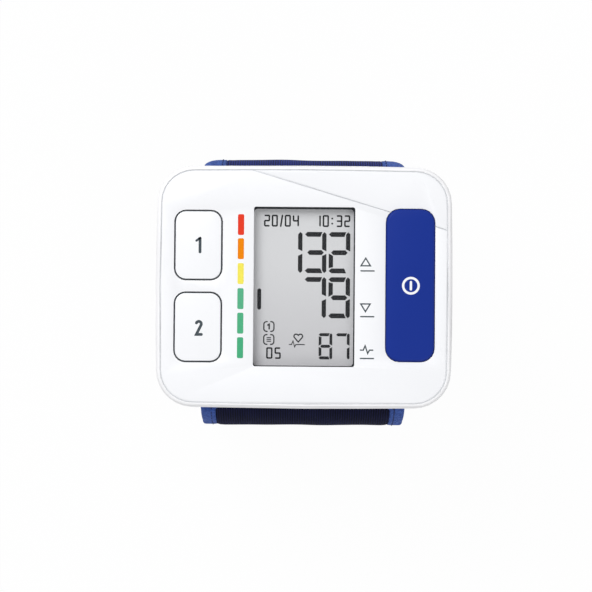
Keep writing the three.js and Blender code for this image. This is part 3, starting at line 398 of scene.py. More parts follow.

# %% [markdown]
# The display is a reflective liquid crystal: behind the glass lies a silvery grey film with a very fine
# grain. Toward its lower edge it is painted a little darker, as painted shade, so its colour follows the
# place along the film.

# %% Display film
LCD_UPPER = tint(218, 219, 221)
# painted shade: the lower colour, toward which the film darkens downward
LCD_PAINTED_SHADE = tint(202, 202, 205)
LCD_SHADE_Y, LCD_UNSHADED_Y = -22 * MM, 12 * MM
display_grey = Finish("display_grey", LCD_UPPER, 0.45)
unshaded_share = display_grey.axis("Y").ramp(LCD_SHADE_Y, LCD_UNSHADED_Y)
display_grey.set("Base Color", display_grey.mix(unshaded_share, LCD_PAINTED_SHADE, LCD_UPPER))
display_grey.bump(display_grey.noise(0.05 * MM), 0.004 * MM, 0.3)
print("film from", round(LCD_SHADE_Y / MM), "to", round(LCD_UNSHADED_Y / MM), "mm")

# %% [markdown]
# Loop fabric for hook tape is a knit with ribs along the strap: seen close, rows of small loops lie side by
# side in each rib. The ribs here run round the cuff, 0.7 mm apart, so they are a wave across the width. A
# wave along the cloth, shifted from rib to rib, breaks each rib up into loops. The distance along the cloth
# is stored on the mesh, because the cloth is bent round and no axis follows it.

# %% Knitted fabrics
RIB_PITCH = 0.7 * MM
LOOP_PITCH = 0.8 * MM
RIB_DEPTH = 0.16 * MM
LINING_PITCH = 0.5 * MM


def knitted(name, colour, highlight, rib_pitch, loop_pitch, depth, sheen=0.1):
    finish = Finish(name, colour, 0.92, specular_ior_level=0.08, sheen_weight=sheen, sheen_roughness=0.4,
                    sheen_tint=(0.5, 0.58, 1.0, 1))
    across = finish.axis("X") * (math.tau / rib_pitch)
    along = finish.along("along") * (math.tau / loop_pitch)
    ribs = across.sine() * 0.5 + 0.5
    rib_number = (finish.axis("X") / rib_pitch).math("FLOOR")
    loops = (along + rib_number * 2.4).sine() * 0.5 + 0.5
    fuzz = finish.noise(0.12 * MM, 4.0, roughness=0.7)
    height = ribs * 0.6 + loops * ribs * 0.25 + fuzz * 0.35
    worn = finish.noise(9 * MM, 3.0).ramp(0.42, 0.7)
    # The colour follows the relief: painted shade in the hollows between ribs and loops, and a painted
    # highlight on their tops.
    tone = finish.mix(height.ramp(0.25, 0.95), scaled(colour, 0.35), highlight)
    finish.set("Base Color", finish.mix(worn * 0.25, tone, scaled(highlight, 1.25)))
    finish.bump(height, depth, 0.8)
    return finish


NAVY = tint(14, 18, 64)
NAVY_HIGHLIGHT = tint(42, 52, 124)
navy_fabric = knitted("navy_fabric", NAVY, NAVY_HIGHLIGHT, RIB_PITCH, LOOP_PITCH, RIB_DEPTH)
# The strap has the cover's knit in a much darker copy: painted shade of the cuff's near side, where the strap
# lies.
shaded_strap_fabric = knitted("shaded_strap_fabric", tint(7, 8, 28), tint(20, 23, 58), RIB_PITCH, LOOP_PITCH, RIB_DEPTH,
                       sheen=0.02)
lining_fabric = knitted("lining_fabric", tint(30, 34, 66), tint(56, 62, 104), LINING_PITCH, LINING_PITCH,
                        0.1 * MM)
print("ribs every", round(RIB_PITCH / MM, 2), "mm")

# %% [markdown]
# Binding tape is a twill, whose ridges cross the tape on the slant: the sine of the distance along and
# across it together. Finer threads cross the ridges the other way. The tape's colour follows that relief,
# with a painted highlight on the ridges and painted shade between them, and the yarn's own mottle over it.
# Hook tape looks like rows of bright dots from a step away, where its hooks catch the light: the dots are a
# painted highlight. The bladder's film looks like a smooth plastic with soft dents.

# %% Tapes and film
TWILL_PITCH = 0.5 * MM
DOT_PITCH = 0.7 * MM


def woven_tape(name, colour, highlight):
    finish = Finish(name, colour, 0.8, specular_ior_level=0.15, sheen_weight=0.15, sheen_roughness=0.4,
                    sheen_tint=(0.5, 0.62, 1.0, 1))
    along = finish.along("along") / TWILL_PITCH
    across = finish.along("across") / TWILL_PITCH
    ridges = ((along + across) * math.tau).sine() * 0.5 + 0.5
    threads = ((across - along * 0.5) * math.tau * 2).sine() * 0.5 + 0.5
    height = ridges * 0.7 + threads * 0.2 + finish.noise(0.1 * MM) * 0.2
    mottle = finish.noise(0.9 * MM, 3.0).ramp(0.35, 0.65)
    # painted highlight on the ridges and painted shade in the hollows, with the yarn's own random mottle
    highlight_and_mottle_share = height.ramp(0.2, 1.0) * (0.45 + mottle * 0.55)
    finish.set("Base Color", finish.mix(highlight_and_mottle_share, scaled(colour, 0.6), highlight))
    finish.bump(height, 0.1 * MM, 0.7)
    return finish


# The binding is a blue tape, made lighter here as a painted highlight of the lit ends of the cuff.
binding_navy = woven_tape("binding_navy", tint(30, 56, 142), tint(86, 126, 216))
stitch_thread = woven_tape("stitch_thread", tint(12, 17, 60), tint(28, 36, 92))

hook_navy = Finish("hook_navy", tint(20, 26, 56), 0.7)
# The bright dots are a painted highlight on the hooks; the same dots also give the relief.
hook_glint_dots = hook_navy.cells(DOT_PITCH).ramp(0.5, 0.1)
hook_navy.set("Base Color", hook_navy.mix(hook_glint_dots, tint(16, 20, 44), tint(58, 68, 116)))
hook_navy.bump(hook_glint_dots, 0.2 * MM, 0.8)

bladder_film = moulded("bladder_film", tint(141, 147, 160), 0.4, 2.5 * MM, 0.1 * MM, coat_weight=0.2)
print(len(Finish.made), "finishes with the fabrics")

# %% [markdown]
# The camera sees a floor that goes on without a horizon, and so does anything glossy. The floor's own colour
# is pale grey, so it throws no more light up than a table would. For what the camera sees directly or in
# gloss and glass, nearly all of it is mixed with plain white, and the rest is the lit floor with the
# object's soft shadow.

# %% Floor
FLOOR_SIDE = 4.0
FLOOR_WHITE_SHARE = 0.97
FLOOR_GREY = (0.86, 0.86, 0.87)
floor_mesh = bpy.data.meshes.new("floor")
corners = [(x * FLOOR_SIDE / 2, y * FLOOR_SIDE / 2, 0) for x, y in ((-1, -1), (1, -1), (1, 1), (-1, 1))]
floor_mesh.from_pydata(corners, [], [(0, 1, 2, 3)])
floor = bpy.data.objects.new("floor", floor_mesh)
bpy.context.scene.collection.objects.link(floor)

floor_finish = Finish("floor", FLOOR_GREY, 0.8)
lit_floor = Wire(floor_finish, floor_finish.shader.outputs[0])
glow = floor_finish.node("ShaderNodeEmission", None, {"Color": (1, 1, 1), "Strength": 1.0})
white_share = straight_rays(floor_finish) * FLOOR_WHITE_SHARE
shown = floor_finish.node("ShaderNodeMixShader", None, {0: white_share, 1: lit_floor, 2: glow})
floor_finish.put(floor_finish.tree.nodes["Material Output"].inputs["Surface"], shown)
floor_mesh.materials.append(floor_finish.material)
print("floor of", FLOOR_SIDE, "m")

# %% [markdown]
# The solids of the housing have the right shape but knife edges. Real mouldings have a small radius on every
# edge, and that radius is what catches the light. Each case part is copied, its flat faces are joined again,
# and a narrow bevel rounds its edges, without moving any face. The copy replaces the solid in the picture.

# %% Case parts with rounded edges
def link(name, mesh, finish, body, replaces=()):
    """One new piece of the object, with its finish, the body that it rides on and what it stands for. A piece
    that bends across a joint has no body here."""
    piece = bpy.data.objects.new(name, mesh)
    bpy.context.scene.collection.objects.link(piece)
    mesh.materials.clear()
    mesh.materials.append(finish.material)
    if body:
        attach(piece, body)
    if replaces:
        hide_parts(*replaces)
    return piece


def settle(piece):
    """Work the piece's modifiers into its mesh."""
    depsgraph = bpy.context.evaluated_depsgraph_get()
    mesh = bpy.data.meshes.new_from_object(piece.evaluated_get(depsgraph))
    piece.modifiers.clear()
    piece.data = mesh


EDGE_ANGLE = math.radians(32)  # where two faces meet at more than this, there is an edge to round


def bevelled(piece, radius):
    """Round the piece's edges and shade the rest smooth."""
    bevel = piece.modifiers.new("edges", "BEVEL")
    bevel.width = radius
    bevel.segments = 2
    bevel.limit_method = "ANGLE"
    bevel.angle_limit = EDGE_ANGLE
    bevel.use_clamp_overlap = True
    settle(piece)
    piece.data.shade_smooth()
    piece.data.set_sharp_from_angle(angle=EDGE_ANGLE)


SAME_POINT = 0.002 * MM
FLAT_ANGLE = math.radians(1)
PARTS = {part["node"]: part for part in frame["record"]["subparts"]}


def body_with(node):
    return next(body for body, nodes in frame["record"]["behaviour"]["bodies"].items() if node in nodes)


def rounded_copy(name, node, radius, finish):
    mesh = NODES[node].data.copy()
    mesh.name = name
    work = bmesh.new()
    work.from_mesh(mesh)
    bmesh.ops.remove_doubles(work, verts=work.verts, dist=SAME_POINT)
    bmesh.ops.dissolve_limit(work, angle_limit=FLAT_ANGLE, verts=work.verts, edges=work.edges)
    bmesh.ops.recalc_face_normals(work, faces=work.faces)
    work.to_mesh(mesh)
    work.free()
    piece = link(name, mesh, finish, body_with(node), [node])
    bevelled(piece, radius)
    print(name, "has", len(piece.data.polygons), "faces")
    return piece


for name, node, radius, finish in (
    ("front_case", "front_shell", 0.08 * MM, shell_white),
    ("rear_case", "rear_shell", 0.12 * MM, shell_white),
    ("door_cover", "battery_door", 0.12 * MM, shell_white),
    ("face_plate", "face_panel", 0.06 * MM, gloss_white),
    ("key_cap_1", "key_1", 0.1 * MM, gloss_white),
    ("key_cap_2", "key_2", 0.1 * MM, gloss_white),
    ("start_cap", "start_key", 0.1 * MM, start_blue),
    ("saddle_cover", "cuff_saddle", 0.25 * MM, black_plastic),
):
    rounded_copy(name, node, radius, finish)
foam_sleeve = rounded_copy("foam_sleeve", "pump_sleeve", 0.3 * MM, foam_grey)

# %% [markdown]
# Parts whose shape is already right keep their solid and only get a finish. The record says which material
# slot each part uses, and each slot has a finish of the same name here.

# %% Finishes of the carried-over parts
for node, part in PARTS.items():
    mesh = NODES[node].data
    mesh.materials.clear()
    mesh.materials.append(Finish.made[part["material_slot"]].material)
print(len(PARTS), "parts have a finish")

# %% [markdown]
# The cuff is a padded band that goes round the wrist: an outer cover of loop fabric, a springy plastic band
# and an air bladder inside, and a soft lining. It is drawn as a path seen from the side, which a flat
# section is carried along. The path is the one that the solids follow, so its rounds are worked out from
# their boxes.

# %% Path of the cuff
LOOP_RADIUS = 26 * MM
HINGE_ANGLE = 48  # where the closing strap starts, in degrees from straight down
STRAP_END_ANGLE = 45  # where it ends on the upper round, in degrees from level
TAB_DROP = 3 * MM
STEP = 0.9 * MM

cover_low, cover_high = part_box("cuff_fabric")
strap_low, strap_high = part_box("cuff_tail")
UPPER_Z = cover_high.z - LOOP_RADIUS
LOWER_Z = cover_low.z + LOOP_RADIUS
FAR_Y = cover_high.y - LOOP_RADIUS
TAB_Y = cover_low.y + LOOP_RADIUS
STRAP_RADIUS = TAB_Y - strap_low.y


def around(centre_y, centre_z, radius, start, end):
    """Stations on a round, from one angle to another: centre, radius and outward direction."""
    count = max(1, round(abs(math.radians(end - start)) * radius / STEP))
    for i in range(count + 1):
        angle = math.radians(start + (end - start) * i / count)
        yield (centre_y, centre_z, radius, math.cos(angle), math.sin(angle))


# A place on a path: the middle and radius of its round, the direction outward, and how far along it lies.
Station = namedtuple("Station", "centre_y centre_z radius out_y out_z at")


def route(*rounds):
    """Stations along all the rounds and the straight stretches between them."""
    stations = []
    travelled = 0.0
    for place in (place for part in rounds for place in part):
        if stations:
            before = stations[-1]
            ends = [(y + radius * out_y, z + radius * out_z)
                    for y, z, radius, out_y, out_z in (before[:5], place)]
            gap = math.dist(*ends)
            extra = max(1, round(gap / STEP))
            for i in range(1, extra):
                share = i / extra
                middle = [a + (b - a) * share for a, b in zip(before[:5], place)]
                stations.append(Station(*middle, travelled + gap * share))
            travelled += gap
        stations.append(Station(*place, travelled))
    return stations


tab_start = [(TAB_Y, UPPER_Z - TAB_DROP, LOOP_RADIUS, -1.0, 0.0)]
cuff_route = route(
    tab_start,
    around(TAB_Y, UPPER_Z, LOOP_RADIUS, 180, 90),
    around(FAR_Y, UPPER_Z, LOOP_RADIUS, 90, 0),
    around(FAR_Y, LOWER_Z, LOOP_RADIUS, 0, -90),
    around(-FAR_Y, LOWER_Z, LOOP_RADIUS, -90, -90 - HINGE_ANGLE),
)
CUFF_LENGTH = cuff_route[-1].at
print("cuff, measured along its outer side:", round(CUFF_LENGTH / MM, 1), "mm")

# %% [markdown]
# A section is a closed loop of points, each with its place across the band and its depth below the outer
# surface. skin() carries the section along the stations, and join_loops() makes the mesh and stores how far
# each point is along and across the cloth, which the weave needs.

# %% Skin through sections
def spot(station, x, depth):
    """The point at x across the band, at a depth below its outer surface."""
    y, z, radius, out_y, out_z = station[:5]
    return Vector((x, y + (radius - depth) * out_y, z + (radius - depth) * out_z))


def station_at(stations, distance):
    """The station at a distance, between the two nearest ones."""
    for before, after in zip(stations, stations[1:]):
        if after.at >= distance:
            share = (distance - before.at) / max(after.at - before.at, 1e-9)
            return Station(*(a + (b - a) * share for a, b in zip(before, after)))
    return stations[-1]


def join_loops(name, loops, travel, widths, caps=True):
    """A mesh through loops of points. travel says how far along the cloth each loop is, widths how far across
    it each point is."""
    count = len(loops[0])
    faces = []
    for row in range(len(loops) - 1):
        for i in range(count):
            a = row * count + i
            b = row * count + (i + 1) % count
            faces.append((a, b, b + count, a + count))
    if caps:
        faces.append(tuple(reversed(range(count))))
        faces.append(tuple(range((len(loops) - 1) * count, len(loops) * count)))
    mesh = bpy.data.meshes.new(name)
    mesh.from_pydata([point for loop in loops for point in loop], [], faces)
    distances = [distance for distance in travel for _ in range(count)]
    for attribute, values in (("along", distances), ("across", widths * len(loops))):
        layer = mesh.attributes.new(attribute, "FLOAT", "POINT")
        layer.data.foreach_set("value", values)
    return faced_out(mesh)


def faced_out(mesh):
    """Turn all faces outward and shade them as one smooth surface."""
    work = bmesh.new()
    work.from_mesh(mesh)
    bmesh.ops.recalc_face_normals(work, faces=work.faces)
    work.to_mesh(mesh)
    work.free()
    mesh.shade_smooth()
    return mesh


def distances_of(loop):
    """How far each point of a flat loop lies from the first one, measured along the loop."""
    distances = [0.0]
    for before, after in zip(loop, loop[1:]):
        distances.append(distances[-1] + math.dist(before, after))
    return distances


def skin(name, stations, section):
    """section(station) gives the loop of (x, depth) there. All loops have as many points."""
    sections = [section(station) for station in stations]
    loops = [[spot(station, x, depth) for x, depth in loop] for station, loop in zip(stations, sections)]
    return join_loops(name, loops, [station.at for station in stations], distances_of(sections[0]))


print(len(cuff_route), "stations along the cuff")

# %% [markdown]
# Three small functions shape nearly all of the cloth: one that eases from 0 to 1, one that says how far a
# value is on its way between two others, and a soft noise that gives the same unevenness on every run.

# %% Easing and unevenness
NOISE_SPREAD = 1.6  # the noise itself stays nearer to zero than 1


def smooth(share):
    share = min(1.0, max(0.0, share))
    return share * share * (3 - 2 * share)


def within(value, low, high):
    """How far the value is on its way from low to high, from 0 to 1."""
    return min(1.0, max(0.0, (value - low) / (high - low)))


def wobble(x, distance, size, seed=0.0):
    """Smooth random height between about -1 and 1, the same on every run."""
    return noise.noise(Vector((x / size, distance / size, seed))) * NOISE_SPREAD


print("unevenness at one place:", round(wobble(0.5 * MM, 0.5 * MM, MM), 2))

# %% [markdown]
# The pad's two faces drop a little from the middle outward and then roll over into a round edge. The cover
# follows that crown and dips under the tape that binds its edge, so the tape stands out only a little.
# Columns of points lie close together where the cloth dips, and far apart where it is even.

# %% Crown of the pad
BINDING_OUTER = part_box("binding_right")[1].x
BINDING_WIDTH = 6.8 * MM
BINDING_INNER = BINDING_OUTER - BINDING_WIDTH
TAPE = 0.5 * MM
TAPE_PROUD = 0.12 * MM  # how far the tape stands out from the cover beside it
SINK = 0.15 * MM  # how far the fabric lies inside the space of its solid
EDGE_FALL = 0.3 * MM  # how far the pad's surface drops from its middle to where its edge rolls over
FALL_START = 12 * MM
ROLL_START = BINDING_OUTER - 4.8 * MM
COVER_HALF = BINDING_OUTER - 1.6 * MM
COVER_THICKNESS = 0.9 * MM
LINING_THICKNESS = 0.8 * MM
PAD_THICKNESS = 4.6 * MM
CROWN_HALF = BINDING_INNER - 0.5 * MM  # where the cover starts to dip under the tape
HEM_X = BINDING_INNER + 0.1 * MM
STITCH_PITCH = 2.7 * MM
COVER_END = 3.5 * MM  # the cover stops this far before the hinge, where the strap is sewn on
END_ROLL = 1.6 * MM  # how far the tape over each end of the pad bulges
LAP = 2.5 * MM  # how far the cover lies over the strap there
END_LEG = 3.2 * MM  # how far each leg of the end's tape reaches over the pad
COLUMNS = 48


def rolled(x):
    """How far the pad's surface lies below the outside of its solid, on its way round the edge."""
    level = SINK + EDGE_FALL * within(abs(x), FALL_START, ROLL_START) ** 2
    share = within(abs(x), ROLL_START, BINDING_OUTER)
    return level + (PAD_THICKNESS / 2 - level) * (1 - math.sqrt(1 - share ** 2))


def crown(x):
    """The same for the cover, which dips under the tape."""
    return rolled(x) + (TAPE - TAPE_PROUD) * smooth(within(abs(x), CROWN_HALF, HEM_X))


def cloth_columns():
    """Places across the cloth: even in the middle, and close together where it dips under the tape."""
    even = [CROWN_HALF * i / (COLUMNS // 2 - 6) for i in range(COLUMNS // 2 - 5)]
    dip = [CROWN_HALF + (HEM_X - CROWN_HALF) * i / 3 for i in range(1, 4)]
    hem = [HEM_X + (COVER_HALF - HEM_X) * i / 3 for i in range(1, 4)]
    half = even + dip + hem
    return [-x for x in reversed(half[1:])] + half


CLOTH_XS = cloth_columns()
print("the pad's face drops by", round(rolled(ROLL_START) / MM, 2), "mm before its edge rolls over")

# %% [markdown]
# Sewn padding is not smooth. The cover is pulled down into a hem along both edges, where the stitches leave
# short puckers, and it lies in low soft waves between them. It stays plain where it is held flat: under the
# saddle and on the table. The thread pulls the cover in at each stitch, so the puckers lie halfway between.

# %% Waves and puckers of the cover
WAVE_HEIGHT, WAVE_SIZE = 0.2 * MM, 13 * MM
PUCKER_DEPTH, PUCKER_REACH = 0.16 * MM, 3.5 * MM


def under_end(distance):
    """How far the cloth dips under the tape over the free end."""
    tape_end = END_ROLL + END_LEG
    return (TAPE - TAPE_PROUD) * (1 - smooth(within(distance, tape_end - 0.4 * MM, tape_end)))


def freedom(station):
    """0 where the cuff is held flat, under the saddle or on the table, and 1 where it is free."""
    z = spot(station, 0, 0).z
    return smooth((cover_high.z - 2 * MM - z) / (4 * MM)) * smooth((z - 0.7 * MM) / (5 * MM))


def pucker(x, distance, reach):
    """Waves between the stitches that die out over reach away from the hem."""
    fade = 1 - smooth((HEM_X - abs(x)) / reach)
    return fade * math.sin(math.pi * distance / STITCH_PITCH) ** 2


def cover_rise(station, x):
    """How far the cover stands out from the crown between its hems."""
    waves = WAVE_HEIGHT * wobble(x, station.at, WAVE_SIZE) - WAVE_HEIGHT / 2
    puckers = PUCKER_DEPTH * pucker(x, station.at, PUCKER_REACH)
    return freedom(station) * (waves - puckers) * (abs(x) < CROWN_HALF)


def cover_section(station):
    loose = smooth((station.at - END_ROLL - END_LEG) / (2 * MM))
    top = [(x, crown(x) + under_end(station.at) - cover_rise(station, x) * loose) for x in CLOTH_XS]
    to_end = CUFF_LENGTH - COVER_END - station.at
    thickness = COVER_THICKNESS * (0.5 + 0.5 * smooth(to_end / LAP))
    return top + [(x, depth + thickness) for x, depth in reversed(top)]


cover_start = 0.6 * END_ROLL
cover_route = [station for station in cuff_route if cover_start < station.at < CUFF_LENGTH - COVER_END]
cover_mesh = skin("cuff_cover", cover_route, cover_section)
cover = link("cuff_cover", cover_mesh, navy_fabric, "housing", ["cuff_fabric"])
print("cover", len(cover.data.polygons), "faces")

# %% [markdown]
# The lining has less length than the cover has, so it folds into creases where the cuff bends. They run
# across the band and wander a little, as a wave with some noise does.

# %% Creases of the lining
CREASE_DEPTH, CREASE_PITCH = 0.55 * MM, 7.5 * MM
LINING_IN = 0.3 * MM  # how far the lining lies inside the pad's crown


def bend_share(station):
    """1 in the middle of a round, less on the straight stretches."""
    return 0.3 + 0.7 * smooth(4 * abs(station.out_y * station.out_z))


def crease(station, x):
    drift = 1.3 * wobble(x, station.at, 16 * MM, 3.0)
    wave = math.sin(math.tau * station.at / CREASE_PITCH + drift)
    depth = CREASE_DEPTH * abs(wave) ** 0.8 * (0.6 + 0.4 * wobble(x, station.at, 9 * MM, 5.0))
    return depth * bend_share(station) * (1 - smooth((abs(x) - 15 * MM) / (9 * MM)))


def lining_depth(x):
    return PAD_THICKNESS - crown(x) - LINING_IN


lining_end = CUFF_LENGTH - 0.4 * END_ROLL
lining_route = [station for station in cuff_route if cover_start < station.at < lining_end]
print("inner side of the lining:", round(lining_depth(0) / MM, 2), "mm below the outside of the cuff")

# %% [markdown]
# The lining is padded fabric, and its folds are best left to a cloth simulation. The lining is pinned along
# its hems and its ends, a pinned back sheet closes it to a flat bag, a little pressure stands for the air
# bag, and the cloth is told that it is larger than the space it has, so it buckles where the cuff bends. The
# simulation runs on an enlarged copy, because the solver is tuned to garments and not to a band of some
# centimetres. Only the depth of the folds is kept, within what the pad has room for.

# %% Cloth simulation of the lining
SIM_SCALE = 20
SIM_FRAMES = 20
SIM_PRESSURE = 0.1
SPARE_CLOTH = 0.04
START_SHARE = 0.3  # how much of the creases the cloth has before it moves
BENDING = 0.3
BACK_GAP = 2 * MM
FOLD_SHARE = 0.6  # the air bag behind it holds the lining back
FOLD_IN = 1.2 * MM
FOLD_OUT = 0.35 * MM


def settled(front, back, columns, pinned):
    """The points of the front sheet after the simulation, in the order in which they came."""
    count, rows = len(front), len(front) // columns
    faces = []
    for row in range(rows - 1):
        for i in range(columns - 1):
            a = row * columns + i
            quad = (a, a + 1, a + columns + 1, a + columns)
            faces += [quad, tuple(count + corner for corner in reversed(quad))]
    rim = [*range(columns), *(row * columns - 1 for row in range(2, rows)),
           *range(count - 1, count - columns - 1, -1), *(row * columns for row in range(rows - 2, 0, -1))]
    faces += [(b, a, count + a, count + b) for a, b in zip(rim, rim[1:] + rim[:1])]
    mesh = bpy.data.meshes.new("bag_for_folds")
    mesh.from_pydata([point * SIM_SCALE for point in front + back], [], faces)
    bag = bpy.data.objects.new("bag_for_folds", faced_out(mesh))
    bpy.context.scene.collection.objects.link(bag)
    bag.vertex_groups.new(name="pinned").add([*pinned, *range(count, 2 * count)], 1.0, "REPLACE")
    cloth = bag.modifiers.new("folds", "CLOTH")
    cloth.settings.quality = 5
    cloth.settings.vertex_group_mass = "pinned"
    cloth.settings.bending_stiffness = BENDING
    cloth.settings.use_pressure = True
    cloth.settings.uniform_pressure_force = SIM_PRESSURE
    cloth.settings.shrink_min = -SPARE_CLOTH
    cloth.settings.effector_weights.gravity = 0
    cloth.collision_settings.use_collision = False
    cloth.point_cache.frame_end = SIM_FRAMES
    for frame_number in range(1, SIM_FRAMES + 1):
        bpy.context.scene.frame_set(frame_number)
    shape = bag.evaluated_get(bpy.context.evaluated_depsgraph_get()).data
    points = [shape.vertices[i].co / SIM_SCALE for i in range(count)]
    bpy.data.objects.remove(bag)
    bpy.context.scene.frame_set(1)
    return points


def soft_limit(fold):
    """The fold, less and less of it as it nears the room that it has on its side."""
    room = FOLD_IN if fold > 0 else FOLD_OUT
    return room * math.tanh(fold / room)


def folded_lining():
    """For each station of the lining, how far each of its points moves inward."""
    columns = len(CLOTH_XS)
    start = [(station, x) for station in lining_route for x in CLOTH_XS]
    front = [spot(station, x, lining_depth(x) + START_SHARE * crease(station, x)) for station, x in start]
    back = [spot(station, x, lining_depth(x) - BACK_GAP) for station, x in start]
    held = END_ROLL + END_LEG
    pinned = [i for i, (station, x) in enumerate(start)
              if abs(x) > CROWN_HALF or not held < station.at < CUFF_LENGTH - held]
    moved = settled(front, back, columns, pinned)
    folds = []
    for (station, x), point in zip(start, moved):
        inward = Vector((0, -station.out_y, -station.out_z))
        folds.append((point - spot(station, x, lining_depth(x))).dot(inward))
    print("folds of the lining, from", round(min(folds) / MM, 2), "to", round(max(folds) / MM, 2), "mm")
    kept = [soft_limit(FOLD_SHARE * fold) for fold in folds]
    return {station.at: kept[row * columns:(row + 1) * columns] for row, station in enumerate(lining_route)}


lining_folds = folded_lining()

# %% [markdown]
# The lining is a skin through its stations, as the cover is. Its outer side lies on the air bag and takes no
# folds, so its cloth stays closed. Its inner side takes the folds, and the small puckers of the hem.

# %% Lining
LINING_PUCKER, LINING_PUCKER_REACH = 0.12 * MM, 3 * MM


def lining_section(station):
    outer = [(x, PAD_THICKNESS - crown(x) - LINING_THICKNESS) for x in CLOTH_XS]
    inner = []
    for x, fold in zip(CLOTH_XS, lining_folds[station.at]):
        puckers = LINING_PUCKER * pucker(x, station.at, LINING_PUCKER_REACH)
        inner.append((x, lining_depth(x) + fold + puckers))
    return outer + inner[::-1]


inner_lining = link("cuff_inner", skin("cuff_inner", lining_route, lining_section), lining_fabric, "housing",
                    ["cuff_lining"])
print("lining", len(inner_lining.data.polygons), "faces")

# %% [markdown]
# A woven tape is folded over both hems and sewn through. Its section is a U: two flat legs and a round fold.
# Each leg comes up out of the cloth at its edge, and the tape sinks a little at each stitch.

# %% Section of the edge tape
FOLD_STEPS = 12
SEAM_X = BINDING_INNER + 1.1 * MM
STITCH_SINK = 0.1 * MM
FOLD_WAVE = 0.06 * MM


def binding_section(side):
    def section(station):
        sink = STITCH_SINK * math.cos(math.pi * station.at / STITCH_PITCH) ** 2
        wave = FOLD_WAVE * wobble(side, station.at, 8 * MM, 9.0)
        edge, seam, level = (rolled(x) - TAPE_PROUD for x in (BINDING_INNER, SEAM_X, ROLL_START))
        outside = [(BINDING_INNER, edge + 0.2 * TAPE), (SEAM_X, seam + sink)]
        inside = [(BINDING_INNER, edge + TAPE), (SEAM_X, seam + TAPE)]
        middle = PAD_THICKNESS / 2
        reach, half = BINDING_OUTER - ROLL_START + wave, middle - level
        for i in range(FOLD_STEPS + 1):
            angle = math.pi / 2 - math.pi * i / FOLD_STEPS
            across, down = math.cos(angle), -math.sin(angle)
            outside.append((ROLL_START + reach * across, middle + half * down))
            inside.append((ROLL_START + (reach - TAPE) * across, middle + (half - TAPE) * down))
        outside += [(SEAM_X, PAD_THICKNESS - seam - sink), (BINDING_INNER, PAD_THICKNESS - edge - 0.2 * TAPE)]
        inside += [(SEAM_X, PAD_THICKNESS - seam - TAPE), (BINDING_INNER, PAD_THICKNESS - edge - TAPE)]
        return [(side * x, depth) for x, depth in outside + inside[::-1]]
    return section


print("the tape's fold has", FOLD_STEPS, "steps")

# %% [markdown]
# The stitches are real threads: short tubes that rise out of the tape, lie on it and dive back in, and they
# are what the eye reads as sewn. All stitches of one seam are one mesh. Each follows the surface that it
# lies on, because its rings are placed by distance along the cloth, and it can run along the cloth or across
# it.

# %% Stitches
THREAD = 0.15 * MM
THREAD_LIFT = 0.06 * MM  # how far the middle of a thread lies above the cloth
THREAD_SUNK = 0.02 * MM  # how far a seam's threads are pressed into the tape
STITCH_LENGTH = 2.05 * MM
THREAD_SIDES = 6
LAST_RING = 4
TIP_SHARE = 0.45  # how thin a thread is where it goes into the cloth


def stitches(name, places, body):
    """A stitch for each (stations, distance, x, depth, outward, turned). Turned ones run across the cloth."""
    points, faces = [], []
    for stations, distance, x, depth, outward, turned in places:
        base = len(points)
        for ring in range(LAST_RING + 1):
            share = ring / LAST_RING - 0.5
            along = 0 if turned else share * STITCH_LENGTH
            across = share * STITCH_LENGTH if turned else 0
            lift = outward * (THREAD_LIFT + THREAD) * (1 - (2 * share) ** 2) - outward * THREAD
            station = station_at(stations, distance + along)
            radius = THREAD * (1 if 0 < ring < LAST_RING else TIP_SHARE)
            for i in range(THREAD_SIDES):
                angle = math.tau * i / THREAD_SIDES
                side_step = radius * math.cos(angle)
                up_step = radius * math.sin(angle)
                if turned:
                    ring_station = station_at(stations, distance + side_step)
                    points.append(spot(ring_station, x + across, depth - lift - up_step))
                else:
                    points.append(spot(station, x + side_step, depth - lift - up_step))
        for ring in range(LAST_RING):
            for i in range(THREAD_SIDES):
                a = base + ring * THREAD_SIDES + i
                b = base + ring * THREAD_SIDES + (i + 1) % THREAD_SIDES
                faces.append((a, b, b + THREAD_SIDES, a + THREAD_SIDES))
        faces.append(tuple(base + i for i in reversed(range(THREAD_SIDES))))
        faces.append(tuple(base + LAST_RING * THREAD_SIDES + i for i in range(THREAD_SIDES)))
    mesh = bpy.data.meshes.new(name)
    mesh.from_pydata(points, [], faces)
    print(name, "has", len(places), "stitches")
    return link(name, faced_out(mesh), stitch_thread, body)

# %% [markdown]
# Both edges are bound the same way, so one loop makes the two tapes, each with a row of stitches on the
# outside and one on the inside. Where the section lies flat, half of its outline is the width that the tape
# was cut to.

# %% Edge tapes
OUTER_SEAM = rolled(SEAM_X) - TAPE_PROUD + THREAD_SUNK
INNER_SEAM = PAD_THICKNESS - OUTER_SEAM
tape_end = 0.5 * END_ROLL
tape_route = [station for station in cuff_route if tape_end < station.at < CUFF_LENGTH - tape_end]
row = [STITCH_PITCH * (i + 0.5) for i in range(int(CUFF_LENGTH / STITCH_PITCH))]
for side, word in ((-1, "left"), (1, "right")):
    tape_mesh = skin(f"edge_tape_{word}", tape_route, binding_section(side))
    tape = link(f"edge_tape_{word}", tape_mesh, binding_navy, "housing", [f"binding_{word}"])
    outer = [(cuff_route, distance, side * SEAM_X, OUTER_SEAM, 1, False) for distance in row]
    inner = [(cuff_route, distance, side * SEAM_X, INNER_SEAM, -1, False) for distance in row]
    threads = stitches(f"edge_stitches_{word}", outer + inner, "housing")
    tape_width = distances_of(binding_section(side)(tape_route[0]))[-1] / 2
    tape_route[-1].at - tape_route[0].at

# %% [markdown]
# Both ends of the pad are closed by a tape that is folded over them from side to side. At the free end it
# goes round the whole thickness. At the hinge its outer leg lies under the strap, which is sewn on there.

# %% End tapes
END_COLUMNS = 36
END_PROUD = TAPE_PROUD + 0.1 * MM  # it lies over the edge tape too
END_OVER = 0.08 * MM  # how far it reaches past the edge tape
LEAST_HALF = 0.08 * MM  # half of its thickness where the pad has thinned to nothing
UNDER_STRAP = 1.15 * MM


